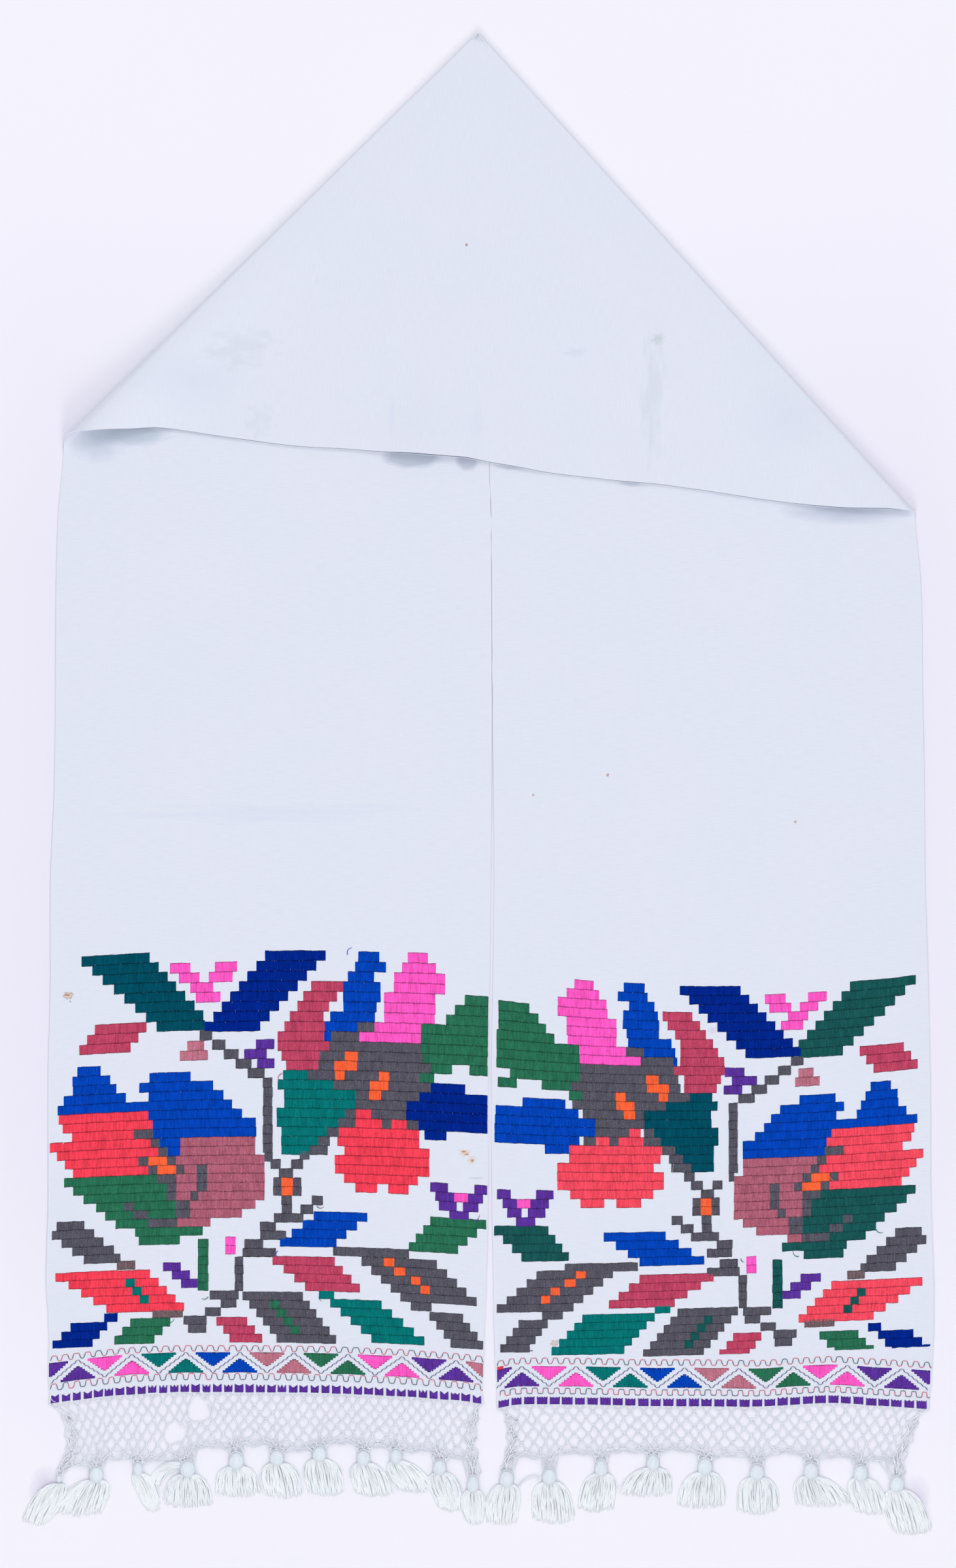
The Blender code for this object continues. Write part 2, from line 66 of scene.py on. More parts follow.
MM = 0.001
BODY = next(iter(frame["bodies"]))
SIDES = ("left", "right")
INWARDS = {"left": 1, "right": -1}
CHART_SEED = 3
LAYING_SEED = 11


def table(columns, *rows, defaults=()):
    """Rows with named columns. Where a row is short, its last columns have their defaults."""
    row_type = namedtuple("Row", columns, defaults=defaults)
    return tuple(row_type(*row) for row in rows)


# The cloth, as its solid has it
CLOTH_THICKNESS = 1.2 * MM
LAYER_GAP = 1.2 * MM
FINE_ROLL = (CLOTH_THICKNESS + LAYER_GAP) / 2
CORNER_ROLL = {"left": 10 * MM, "right": 4 * MM}
ROLL_GROWTH = 3.0
ROLL_FLATTENS_OVER = 45 * MM
TURNING_STEPS = 12
DRIFT_POWER = 6
POINT = (-0.6 * MM, 689.7 * MM)
POINT_WIDTH = 5 * MM
CORNER = {"left": (-373.2 * MM, 324.9 * MM), "right": (397.8 * MM, 253.5 * MM)}
RIDGE_X = -42 * MM
RIDGE_HALF_WIDTH = 44 * MM
RIDGE_HEIGHT = 2.2 * MM
RIDGE_REACH = 0.55
LIFT_REACH = 0.10
EDGE_JOINS_OVER = 40 * MM

# The cloth's finer grid, with the strip's parts in order and how many rows each of them has, and the
# flat strip that it was woven as
STRIPS_ACROSS = 56
STRIP_PARTS = (
    ("left panel", 96),
    ("left roll", 12),
    ("front", 84),
    ("right roll", 12),
    ("right panel", 96),
)
STRIP_WIDTH = 400 * MM
STRIP_LENGTH = 2500 * MM
WOVEN_LENGTH = 2524 * MM
SELVEDGE_WAVE = 0.5 * MM
EDGE_LINE = 0.34 * MM
EDGE_LINE_DROP = 0.3 * MM
EDGE_LINE_STEPS = 220
SELVEDGE_WAVE_LENGTH = 9 * MM
SEAM_CLOSING = 0.5 * MM
SEAM_FOOT = 0.0
SEAM_FADE = 60 * MM
SEAM_REACH = 30
SEAM_UNEVENNESS = 0.3
SEAM_UNEVENNESS_LENGTH = 9 * MM
SOFT_WAVE = 0.7 * MM
SOFT_WAVE_LENGTH = 85 * MM
WEAVE_THREADS = 1600.0

# The satin stitches
COUNT_WIDTH = {"left": 8.58 * MM, "right": 8.28 * MM}
HALF_ROW = 0.5
SAME_ROW = 0.01
STITCH_PITCH = 0.78 * MM
STITCH_WIDTH = 1.06 * MM
STITCH_HEIGHT = 0.48 * MM
STITCH_SQUARENESS = 0.28
BAND_WAVE = 0.55 * MM
BAND_WAVE_LENGTH = 6 * MM
BAND_WAVE_STEP = 3.7
STITCH_SINK = 0.06 * MM
WOOL_BRIGHTNESS = 1.18
RUN_STEP = 2.6 * MM
RUN_END_INSET = 0.4 * MM
NARROWEST_RUN = 2.6 * MM
WIDEST_SLIT = 2.6 * MM
RUN_END_UNEVENNESS = 0.3 * MM
SELVEDGE_CLEARANCE = 1 * MM

# The border, by heights above the hem
BORDER_STEPS = 6
HEM_STEPS = 3
MEANDER_THREAD = 0.4 * MM
LOOSE_THREAD = 0.42 * MM
THREAD_SIDES = 5
THREAD_SEAT = 0.3 * MM

# The net lace
NET_CORD = 0.64 * MM
NET_Z = 1.15 * MM
NET_CROSSING = 0.4 * MM
NET_SWING = 0.62
NET_FLATNESS = 0.5
NET_SLACK = 0.22
NET_SLACK_ALONG = 0.7
NET_SLACK_DOWN = 5.3
KNOT_GIRTH = 1.2
NET_POINTS_PER_CELL = 10
NET_UNEVENNESS = 2 * MM
NET_UNEVEN_LENGTH = 13 * MM
NET_UNEVEN_SHIFT = Vector((9.0, 4.0, 2.0))
SIDE_HOLD = 12
SIDE_CORDS = 4
GATHER_REACH = 12 * MM
GATHER_SHARE = 0.75
GATHER_LIFT = 2.2 * MM
NET_SIDES = 6
NET_GIRTH_LENGTH = 4 * MM
NET_GIRTH_UNEVENNESS = 0.16
TURN_GIRTH = 0.2
TURN_SHARPNESS = 8
KNOT_OVER = 0.04
KNOT_FOOT = 1.06
KNOT_LIFT = 0.3 * NET_CROSSING
FREE_BELOW = 5.0
SCALLOP_ROUNDNESS = 0.6
TEAR_GONE = 0.3
TEAR_REACH = 2.0
TEAR_PUSH = 0.95
TEAR_FADE = 1.25
TEAR_RAGGEDNESS = 0.16
TEAR_POINTS = 3
TEAR_TURN = 0.1

# The slack cords along the lace's lower edge, by share of its height
LOWER_CORDS = 3
LOWER_SPACING = 0.055
LOWER_STRAY = 0.06
LOWER_PILE = 0.5 * MM
LOWER_GIRTH = 0.62
LOWER_GIRTH_STRAY = 0.2
LOWER_STEPS_PER_CELL = 5
LOWER_WAVE_STEP = 0.31
LOWER_PILE_STEP = 1.7
LOWER_GIRTH_STEP = 0.8
LOWER_ENDS = (0.01, 0.99)

# The cords down the lace's sides: their spacing and weave in millimetres
SIDE_STEPS = 28
SIDE_FOOT_Y = -630 * MM
SIDE_SPACING = 2.6
SIDE_WEAVE = 1.4
SIDE_WEAVE_STEPS = (0.9, 2.3)
SIDE_PILE = 0.35 * MM
SIDE_PILE_STEP = 1.1
SIDE_GIRTH = 0.9
SIDE_START_DROP = 2 * MM
SIDE_SPREADING = 4
SIDE_SPREAD_AT_HEM = 0.2

# The loops between the hem's blocks: how far they lean and bulge, and how far above the hem they
# start and end, in millimetres
LOOP_STEPS = 7
LOOP_LEAN = 0.6
LOOP_BULGE = 0.5
LOOP_TOP = 8.2
LOOP_FOOT = -1.2
LOOP_ON_CLOTH = 0.75
LOOP_SEAT = 0.35 * MM
LOOP_SUNK = 0.4 * MM
LOOP_OVER_NET = 0.3 * MM
LOOP_GIRTH = 1.3
LOOP_END_GIRTH = 0.8

# The cords at a head, in millimetres: where they leave the net, the arch over the head by share of
# a half turn, and the others' bend and end by share of the head's half width, above its top, and z
HEAD_CORDS = (-11.0, -6.0, -2.0, 2.0, 6.0, 11.0)
HEAD_CORD_STEPS = 8
HEAD_CORD_SHARES = (0.005, 0.995)
HEAD_CORD_START = 0.96
HEAD_CORD_BEND = (1.15, 2.5, 2.4)
HEAD_CORD_END = (0.7, -2.6, 3.2)
HEAD_CORD_GIRTH = 0.7
ARCH_ENDS = (0.22, 0.78)
ARCH_WIDTH = 0.9
ARCH_RISE = 1.6
ARCH_DROP = 0.8
ARCH_HEIGHTS = (1.0, 3.6)
ARCH_GIRTH = 0.85

# The tassels
HEAD_HEIGHT = 8.2 * MM
HEAD_CENTRE_Z = 3.3 * MM
HEAD_SIZE = 0.95
HEAD_SIDES = 64
HEAD_RINGS = 18
HEAD_RIDGES = 36
HEAD_RIDGE_DEPTH = 0.03
HEAD_LUMPS = 0.05
LUMPS_ACROSS = 2.2
LUMPS_UP = 1.4
HEAD_BELL = 0.06
WINDING_SLOPE = 1.4
YARN_RADIUS = 0.56 * MM
YARN_SIDES = 4
YARNS_PER_TASSEL = 84
YARN_STEPS = 9
NECK_DEPTH = 0.42

# How a tassel's yarns lie, in millimetres and by share of its width and its length: the neck under
# the head, the shoulder beside it, the bend below that, and the tips
NECK_WIDTH = 0.26
NECK_RISE = 2.0
SHOULDER_WIDTHS = (1.05, 1.3)
SHOULDER_FALLS = (-0.05, 0.08)
YARN_LEAN = 0.16
BEND_PLACES = (0.4, 0.8)
BEND_FALLS = (0.38, 0.58)
TIP_STRAY = 1.0
TIP_RISES = (-1.5, 4.5)
TIP_ROUNDNESS = 3.5
TIP_GIRTH = 0.65
YARN_WANDER = 1.3
YARN_REST = 0.65
YARN_PILE = 3.4
OVER_SHOULDER = 1.6
YARN_STRAY = 0.45
TIP_EVENING = 0.3
YARN_WAVES = 1.1
PILE_ROUNDNESS = 0.6
PILE_POWER = 0.8
SHOULDER_POWER = 5

# How a tuft's yarns lie: how far apart across and up, by share of its width, and how far they stray
TUFT_START_SPREAD = 0.35
TUFT_BEND_SPREAD = (0.9, 0.7)
TUFT_TIP_SPREAD = 1.1
TUFT_PILE = 2.2
TUFT_PILE_START = 0.2
TUFT_YARN_STRAY = 0.8
TUFT_BEND_STRAY = 1.0
TUFT_TIP_STRAYS = (1.5, 4.0)

# Where each selvedge lies at a height, both panels, in millimetres
LEVEL_COLUMNS = "y left_outer left_inner right_inner right_outer"
SELVEDGES = table(
    LEVEL_COLUMNS,
    (700, -378, -3, 1.8, 395),
    (500, -378, 3, 5.4, 395),
    (310, -377, 9, 10.2, 396),
    (250, -383, 11, 12.2, 399.6),
    (180, -386, 11.6, 12.9, 405.9),
    (90, -387.3, 11.9, 13.4, 407.4),
    (0, -388.8, 12, 14.1, 409.2),
    (-90, -392.5, 11.4, 14.6, 410),
    (-180, -392.6, 10.4, 13.4, 412.8),
    (-270, -394.8, 9.5, 12.2, 414.6),
    (-380, -394.6, 9, 12.7, 415.4),
    (-450, -396.6, 7.5, 13.7, 417.7),
    (-500, -394.2, 5.7, 14.5, 417.8),
    (-550, -394.2, 4.2, 16.6, 415.4),
    (-575, -389, 0.4, 18, 412),
)

# Where each hem lies, by the share of the width out from the inner selvedge, in millimetres
HEMS = table(
    "across left_y right_y",
    (0.00, -566.7, -570.8),
    (0.05, -564.3, -567.8),
    (0.20, -560, -567.9),
    (0.35, -557.6, -569),
    (0.50, -556.5, -569.1),
    (0.60, -556.4, -569.7),
    (0.70, -556.5, -567.3),
    (0.77, -557.5, -566.1),
    (0.85, -559.6, -567.9),
    (1.00, -566.6, -571.6),
)

# The front layer's free edge: where it lies and how far it lifts off the panels, in millimetres
FRONT_EDGE = table(
    "x y lift",
    (-354, 328.9, 0),
    (-322.8, 327.9, 0),
    (-292.2, 329.7, 0.4),
    (-231.6, 321.3, 0.5),
    (-167.4, 312.9, 0.4),
    (-124.8, 310.5, 0.6),
    (-87, 307.5, 1.5),
    (-66, 306.5, 4.8),
    (-46.8, 305.1, 4.6),
    (-26, 303.6, 2.6),
    (-12, 302.4, 4.2),
    (6, 299, 0.6),
    (38, 293.4, 1.8),
    (66, 288.3, 0.5),
    (120, 282, 0.4),
    (140, 279.9, 2.2),
    (162, 278.3, 0.4),
    (216, 270.9, 0.3),
    (267, 263.1, 0.5),
    (331.8, 256.5, 2),
    (390.6, 255.4, 0.5),
)

# The lace's sides, below the hems, in millimetres
LACE_SIDES = table(
    LEVEL_COLUMNS,
    (-570, -387, 1.2, 21.5, 409),
    (-578, -382.5, 0.6, 24, 405),
    (-588, -380, -1, 25, 402.5),
    (-603, -378.5, -1.5, 26, 397.5),
    (-617, -379.5, 0.8, 23, 392.2),
    (-630, -389.5, 2.4, 20.5, 391.8),
)

# The knotted net: how many cells it has across, and how many rows
NETS = table(
    "side cells_across rows",
    ("left", 40, 8),
    ("right", 34, 7),
)

# The torn places of the left lace, in millimetres
TEARS = table(
    "side x y half_width half_height",
    ("left", -256.5, -571.6, 9.5, 11.6),
    ("left", -277.5, -593.4, 8.7, 7.6),
)

# Each tassel: its head, how its strands fan out, and how high the lace's scallop goes to its
# right, in millimetres
TASSELS = table(
    "side x y width length tip_left tip_right tip_y scallop_y",
    ("left", -384.5, -635, 12, 15, -417.2, -394, -677.5, -624),
    ("left", -350.4, -631.2, 14.4, 15.6, -387, -345, -670, -616.3),
    ("left", -312.3, -625.9, 10, 14, -305, -293, -665, -619.5),
    ("left", -266.7, -625.9, 15, 16, -287.5, -245.2, -662, -606.5),
    ("left", -222, -618.5, 15, 16.5, -240.5, -202, -652, -604.6),
    ("left", -184.9, -615.8, 14.4, 15.6, -196, -160.4, -653, -611),
    ("left", -145.8, -612.2, 14.4, 15, -155.4, -124, -651, -604),
    ("left", -105.4, -615.8, 13.2, 15, -112.8, -79.5, -652, -607),
    ("left", -75.6, -614.3, 12, 14.4, -73.6, -40.8, -648, -610.5),
    ("left", -35.6, -624.5, 13.8, 15, -35.4, -15, -665, -617.5),
    ("left", -5, -639.8, 12, 16.8, -10.4, 3.4, -677, None),
    ("right", 26, -635.1, 14.4, 16.2, 8.2, 34.6, -677.5, -615.3),
    ("right", 65, -632.9, 14.4, 15.6, 51, 87, -676.5, -612.4),
    ("right", 112.7, -625.1, 13.2, 16.2, 92, 124, -665.5, -611),
    ("right", 160.2, -620.1, 13.2, 15.6, 128.6, 178, -652, -610),
    ("right", 208, -623.7, 15, 16.2, 182.6, 225.6, -662.5, -615),
    ("right", 255.6, -629, 14.4, 15.6, 239.2, 274.8, -668, -612.5),
    ("right", 305.2, -627.7, 15, 16.2, 292.8, 341.6, -661.5, -615.3),
    ("right", 350.7, -629.7, 14.4, 15.6, 346.4, 375.8, -668, -618),
    ("right", 384, -639.9, 14.4, 15.6, 380.6, 416, -686.5, None),
)

# The wools of the embroidery: colour as it looks in even daylight, and how flecked it is
WOOLS = table(
    "name red green blue flecks",
    ("spruce", 3, 78, 97, 0.10),
    ("navy", 2, 39, 140, 0.10),
    ("blue", 4, 69, 183, 0.12),
    ("pink", 253, 92, 196, 0.08),
    ("red", 241, 67, 87, 0.10),
    ("coral", 242, 78, 97, 0.12),
    ("rose", 190, 71, 101, 0.16),
    ("mauve", 174, 98, 117, 0.22),
    ("light_mauve", 188, 116, 134, 0.20),
    ("orange", 251, 103, 60, 0.10),
    ("charcoal", 88, 87, 98, 0.30),
    ("brown", 114, 96, 100, 0.40),
    ("green", 43, 113, 84, 0.18),
    ("dark_green", 26, 87, 85, 0.14),
    ("teal", 8, 117, 115, 0.10),
    ("purple", 93, 53, 155, 0.16),
    ("red_thread", 196, 92, 112, 0.10),
    ("green_thread", 74, 92, 104, 0.10),
    ("navy_thread", 76, 74, 110, 0.10),
)


def mix(a, b, t):
    return a + (b - a) * t


def clamp(value, low=0.0, high=1.0):
    return min(high, max(low, value))


def bell(distance, width):
    return math.exp(-((distance / width) ** 2))


def smooth_through(points, at):
    """The value at a place on a smooth curve through (place, value) points in rising order of place."""
    if at <= points[0][0]:
        return points[0][1]
    if at >= points[-1][0]:
        return points[-1][1]
    last = len(points) - 1
    start = max(i for i in range(last) if points[i][0] <= at)

    def slope(i):
        before, after = points[max(i - 1, 0)], points[min(i + 1, last)]
        return (after[1] - before[1]) / (after[0] - before[0])

    (x0, y0), (x1, y1) = points[start], points[start + 1]
    span = x1 - x0
    t = (at - x0) / span
    return (
        (2 * t**3 - 3 * t**2 + 1) * y0
        + (t**3 - 2 * t**2 + t) * span * slope(start)
        + (3 * t**2 - 2 * t**3) * y1
        + (t**3 - t**2) * span * slope(start + 1)
    )


def column(rows, place, value):
    """The (place, value) points of two named columns of a table in millimetres, in metres and rising."""
    return sorted((getattr(row, place) * MM, getattr(row, value) * MM) for row in rows)


SELVEDGE = {name: column(SELVEDGES, "y", name) for name in SELVEDGES[0]._fields[1:]}
LACE_SIDE = {name: column(LACE_SIDES, "y", name) for name in LACE_SIDES[0]._fields[1:]}
HEM = {
    "left": sorted((row.across, row.left_y * MM) for row in HEMS),
    "right": sorted((row.across, row.right_y * MM) for row in HEMS),
}
EDGE_Y = column(FRONT_EDGE, "x", "y")
EDGE_LIFT = column(FRONT_EDGE, "x", "lift")


def daylight(red, green, blue):
    """A colour given as it looks, from 0 to 255, as the linear colour that a shader takes."""
    shares = (red / 255, green / 255, blue / 255)
    linear = [s / 12.92 if s <= 0.04045 else ((s + 0.055) / 1.055) ** 2.4 for s in shares]
    return (*linear, 1.0)


# Node trees

def socket_of(sockets, key):
    """A socket by its identifier, or else by its name or number."""
    for socket in sockets:
        if socket.identifier == key:
            return socket
    return sockets[key]


def put(tree, kind, inputs=(), **settings):
    """A new node. Each of its inputs takes a value, or is linked from another node's output."""
    made = tree.nodes.new(kind)
    for name, value in settings.items():
        setattr(made, name, value)
    for key, value in dict(inputs).items():
        socket = socket_of(made.inputs, key)
        if isinstance(value, bpy.types.NodeSocket):
            tree.links.new(value, socket)
        else:
            socket.default_value = value
    return made


def maths(tree, operation, a, b=0.0, c=0.0):
    return put(tree, "ShaderNodeMath", {0: a, 1: b, 2: c}, operation=operation).outputs[0]


def times(tree, a, b):
    return maths(tree, "MULTIPLY", a, b)


def off_middle(tree, value, span):
    """A value from 0 to 1 turned into a shift of half the span down to half the span up."""
    return times(tree, maths(tree, "SUBTRACT", value, 0.5), span)


def faded(tree, value, from_value, to_value):
    """0 at the first value and beyond, rising evenly to 1 at the second."""
    inputs = {"Value": value, "From Min": from_value, "From Max": to_value}
    return put(tree, "ShaderNodeMapRange", inputs).outputs[0]


def vector_maths(tree, operation, *vectors):
    return put(tree, "ShaderNodeVectorMath", dict(enumerate(vectors)), operation=operation).outputs


def vector_of(tree, x=0.0, y=0.0, z=0.0):
    return put(tree, "ShaderNodeCombineXYZ", {0: x, 1: y, 2: z}).outputs[0]


def parts_of(tree, vector):
    return put(tree, "ShaderNodeSeparateXYZ", {0: vector}).outputs


def new_group(name, kind, ins, outs):
    """A node group with named sockets; an input is given as (name, type) or (name, type, value)."""
    tree = bpy.data.node_groups.new(name, kind)
    for socket_name, kind_of_value, *value in ins:
        socket_type = "NodeSocket" + kind_of_value
        socket = tree.interface.new_socket(socket_name, in_out="INPUT", socket_type=socket_type)
        if value:
            socket.default_value = value[0]
    for socket_name, kind_of_value in outs:
        socket_type = "NodeSocket" + kind_of_value
        tree.interface.new_socket(socket_name, in_out="OUTPUT", socket_type=socket_type)
    return tree, tree.nodes.new("NodeGroupInput").outputs, tree.nodes.new("NodeGroupOutput").inputs


def blended(tree, share, first, second, how="MIX"):
    """Two colours mixed in a shader, as an output socket."""
    inputs = {0: share, 6: first, 7: second}
    return put(tree, "ShaderNodeMix", inputs, data_type="RGBA", blend_type=how).outputs[2]


def between_tones(tree, share, tones):
    return blended(tree, share, daylight(*tones[0]), daylight(*tones[1]))


def noise_value(tree, vector, scale, detail=2.0):
    """Noise from 0 to 1, its scale one number, or one for each axis."""
    if isinstance(scale, tuple):
        vector, scale = vector_maths(tree, "MULTIPLY", vector, scale)[0], 1.0
    inputs = {"Vector": vector, "Scale": scale, "Detail": detail}
    return put(tree, "ShaderNodeTexNoise", inputs).outputs["Fac"]


# The linen's weave: where its slubs lie close and far apart, and how much of its height and its
# streaks the lengthwise and crosswise yarns give
WEFT_SLUBS = (80.0, 1500.0, 1.0)
WARP_SLUBS = (1500.0, 60.0, 1.0)
WEFT_SHARE = 0.75
THREAD_SHARE = 0.15


def weave_group():
    """A plain weave in strip metres: its threads' height, and streaks of thicker and thinner yarn."""
    tree, ins, outs = new_group(
        "plain_weave",
        "ShaderNodeTree",
        [("Strip", "Vector"), ("Threads", "Float", WEAVE_THREADS)],
        [("Height", "Float"), ("Streaks", "Float")],
    )
    place = parts_of(tree, ins["Strip"])
    turns = times(tree, ins["Threads"], math.tau)
    warp = maths(tree, "SINE", times(tree, place["X"], turns))
    weft = maths(tree, "SINE", times(tree, place["Y"], turns))
    over_under = maths(tree, "MULTIPLY_ADD", times(tree, warp, weft), 0.5, 0.5)
    weft_slubs = noise_value(tree, ins["Strip"], WEFT_SLUBS)
    warp_slubs = times(tree, noise_value(tree, ins["Strip"], WARP_SLUBS), 1 - WEFT_SHARE)
    streaks = maths(tree, "MULTIPLY_ADD", weft_slubs, WEFT_SHARE, warp_slubs)
    thread_height = times(tree, over_under, THREAD_SHARE)
    height = maths(tree, "ADD", thread_height, times(tree, streaks, 1 - THREAD_SHARE))
    tree.links.new(height, outs["Height"])
    tree.links.new(streaks, outs["Streaks"])
    return tree


# The wool's own unevenness: how close its fibres, furrows, flecks and patches lie along each axis,
# and how much lighter or darker each of them makes a stitch
FIBRES = (3000.0, 260.0, 3000.0)
FURROWS = (700.0, 130.0, 700.0)
FLECKS = (1500.0, 1050.0, 900.0)
PATCHES = 110.0
FIBRE_SPAN = 0.3
FURROW_SPAN = 0.6
PATCH_SPAN = 0.46
TINT_SPAN = 0.24
FLECK_GAIN = 9.0
FLECK_MEAN = 0.035
# The painted shade at a stitch's ends, where it dips into the cloth: how it grows towards the ends and how
# dark it gets, then the darkest a stitch may get in all
END_POWER = 1.9
END_SHADE = -1.45
DARKEST_WOOL = 0.25


def wool_group():
    """One wool stitch: fibres along it, flecks, and painted shade at its ends where it goes down into the
    cloth.
    """
    tree, ins, outs = new_group(
        "wool_stitch",
        "ShaderNodeTree",
        [("Place", "Vector"), ("Tint", "Float"), ("Toward End", "Float"), ("Flecks", "Float")],
        [("Shade", "Float"), ("Fibres", "Float")],
    )
    fibres = noise_value(tree, ins["Place"], FIBRES)
    fleck_noise = noise_value(tree, ins["Place"], FLECKS, 1.0)
    curls = maths(tree, "MAXIMUM", maths(tree, "SUBTRACT", fleck_noise, 0.5), 0.0)
    fleck = maths(tree, "SUBTRACT", curls, FLECK_MEAN)
    # The first change is painted shade at the stitch's ends; the others are the wool's own unevenness
    changes = (
        times(tree, maths(tree, "POWER", ins["Toward End"], END_POWER), END_SHADE),
        times(tree, ins["Tint"], TINT_SPAN),
        off_middle(tree, noise_value(tree, ins["Place"], PATCHES, 4.0), PATCH_SPAN),
        off_middle(tree, noise_value(tree, ins["Place"], FURROWS), FURROW_SPAN),
        times(tree, fleck, times(tree, ins["Flecks"], FLECK_GAIN)),
        off_middle(tree, fibres, FIBRE_SPAN),
    )
    shade = WOOL_BRIGHTNESS
    for change in changes:
        shade = maths(tree, "ADD", change, shade)
    tree.links.new(maths(tree, "MAXIMUM", shade, DARKEST_WOOL), outs["Shade"])
    tree.links.new(fibres, outs["Fibres"])
    return tree


# How many times a metre the tone of spun cord and yarn changes, and how many plies it is spun of
TONE_CHANGES = 220.0
PLIES = 2.0


def twist_group():
    """Spun cord or yarn: the height of its twist, and uneven thickness along it."""
    tree, ins, outs = new_group(
        "spun_twist",
        "ShaderNodeTree",
        [("Along", "Float"), ("Around", "Float"), ("Turns", "Float")],
        [("Height", "Float"), ("Tone", "Float")],
    )
    plies = times(tree, ins["Around"], PLIES)
    turned = maths(tree, "MULTIPLY_ADD", ins["Along"], ins["Turns"], plies)
    ridge = maths(tree, "SINE", times(tree, turned, math.tau))
    height = maths(tree, "MULTIPLY_ADD", ridge, 0.5, 0.5)
    position = vector_of(tree, times(tree, ins["Along"], TONE_CHANGES), ins["Around"])
    tree.links.new(height, outs["Height"])
    tree.links.new(noise_value(tree, position, 1.0), outs["Tone"])
    return tree


# A mark's edge: how close its raggedness lies and how far it goes, and where its rim starts, all by
# share of its half width
RAGGED_SCALE = 1.9
RAGGED_DEPTH = 2.4
RIM_STARTS = 0.5


def spot_group():
    """A ragged round mask about a place: 1 inside, 0 outside."""
    tree, ins, outs = new_group(
        "ragged_spot",
        "ShaderNodeTree",
        [
            ("Place", "Vector"),
            ("Centre", "Vector"),
            ("Stretch", "Vector"),
            ("Ragged", "Float"),
            ("Softness", "Float"),
        ],
        [("Mask", "Float"), ("Rim", "Float")],
    )
    away = vector_maths(tree, "SUBTRACT", ins["Place"], ins["Centre"])[0]
    scaled = vector_maths(tree, "MULTIPLY", away, ins["Stretch"])[0]
    radius = vector_maths(tree, "LENGTH", scaled)["Value"]
    rough = maths(tree, "SUBTRACT", noise_value(tree, scaled, RAGGED_SCALE, 6.0), 0.5)
    edge = maths(tree, "MULTIPLY_ADD", rough, times(tree, ins["Ragged"], RAGGED_DEPTH), radius)
    inside = maths(tree, "SUBTRACT", 1.0, ins["Softness"])
    mask = faded(tree, edge, 1.0, inside)
    rim = faded(tree, edge, RIM_STARTS, inside)
    tree.links.new(mask, outs["Mask"])
    tree.links.new(times(tree, mask, rim), outs["Rim"])
    return tree


# The marks on the cloth, stains and painted shade, in millimetres: how soft their edges are, how much
# of their colour shows, and how much darker their rims are
MARK_COLUMNS = "x y half_width half_height ragged softness strength red green blue rim"
MARKS_AND_PAINTED_SHADE = table(
    MARK_COLUMNS,
    # The first four are painted shade: inside the left and right folds on the front, and along the two soft
    # creases down the front
    (-262, 372, 62, 34, 0.2, 1, 0.4, 207, 217, 234),
    (282, 335, 50, 42, 0.2, 1, 0.35, 208, 217, 234),
    (-79, 340, 5, 26, 0.1, 1, 0.25, 205, 213, 235),
    (-1, 335, 9, 24, 0.1, 1, 0.25, 205, 213, 235),
    (-376.2, -191.5, 5.4, 3.4, 0.7, 0.3, 0.5, 206, 176, 146, 0.3),
    (-377, -191, 3.4, 1, 0.6, 0.4, 0.9, 186, 128, 66),
    (-374.6, -197, 1, 1, 0.3, 0.4, 0.6, 110, 82, 70),
    (-12, -336, 6, 3, 0.8, 0.6, 0.55, 216, 184, 146),
    (-5.8, -342.4, 4.6, 4, 0.8, 0.6, 0.5, 214, 186, 160),
    (-13.4, -334.6, 3, 1, 0.6, 0.5, 0.9, 190, 132, 66),
    (-10.4, -337.2, 2.6, 0.9, 0.6, 0.5, 0.9, 196, 138, 76),
    (-5.4, -343, 1.6, 1.5, 0.6, 0.5, 0.85, 176, 118, 72),
    (118.8, 11, 1.6, 1.6, 0.5, 0.35, 0.8, 186, 140, 110),
    (50.4, -7.5, 1.5, 1.3, 0.5, 0.35, 0.7, 192, 150, 120),
    (291, -32, 1.7, 1.4, 0.5, 0.35, 0.7, 192, 150, 120),
    (70.2, -510.6, 4.6, 3.2, 0.9, 0.4, 0.55, 200, 168, 146, 0.2),
    (-10.8, 497, 1.5, 1.5, 0.5, 0.35, 0.8, 170, 120, 96),
    (164.4, 410.7, 7.5, 5.5, 0.9, 0.65, 0.5, 176, 196, 196),
    (160, 360, 13, 60, 1.2, 0.65, 0.28, 190, 206, 212),
    (90, 398.7, 13, 5, 1, 0.65, 0.3, 190, 208, 226),
    (-217, 402, 36, 18, 1.3, 0.65, 0.3, 200, 208, 216),
    (-200, 336, 16, 16, 1.4, 0.65, 0.2, 196, 206, 216),
    (215, -223.5, 5, 3.4, 1, 0.65, 0.4, 186, 192, 200),
    (-190, -24, 150, 9, 1.2, 0.65, 0.22, 200, 214, 232),
    (-1.2, -359, 9.5, 1, 0.5, 0.6, 0.5, 176, 186, 200),
    defaults=(0,),
)


# The shade on the panels where the front's free edge stands off them, in millimetres
SHADES = table(
    MARK_COLUMNS,
    (-350, 316, 28, 20, 0.25, 0.85, 0.65, 184, 198, 212),
    (-318, 324, 40, 12, 0.2, 0.5, 0.75, 182, 196, 211),
    (-60, 303.5, 31, 12, 0.15, 0.35, 0.85, 182, 192, 207),
    (-9.6, 301, 12.5, 12, 0.15, 0.4, 0.85, 182, 192, 207),
    (31, 295.5, 19, 5.5, 0.2, 0.5, 0.65, 184, 196, 210),
    (141, 280, 12, 5, 0.2, 0.6, 0.6, 184, 196, 212),
    (338, 255, 64, 15, 0.2, 0.7, 0.75, 178, 190, 208),
    defaults=(0,),
)
SHADE_Z = 1.4
SHADE_DEPTH = 1.6


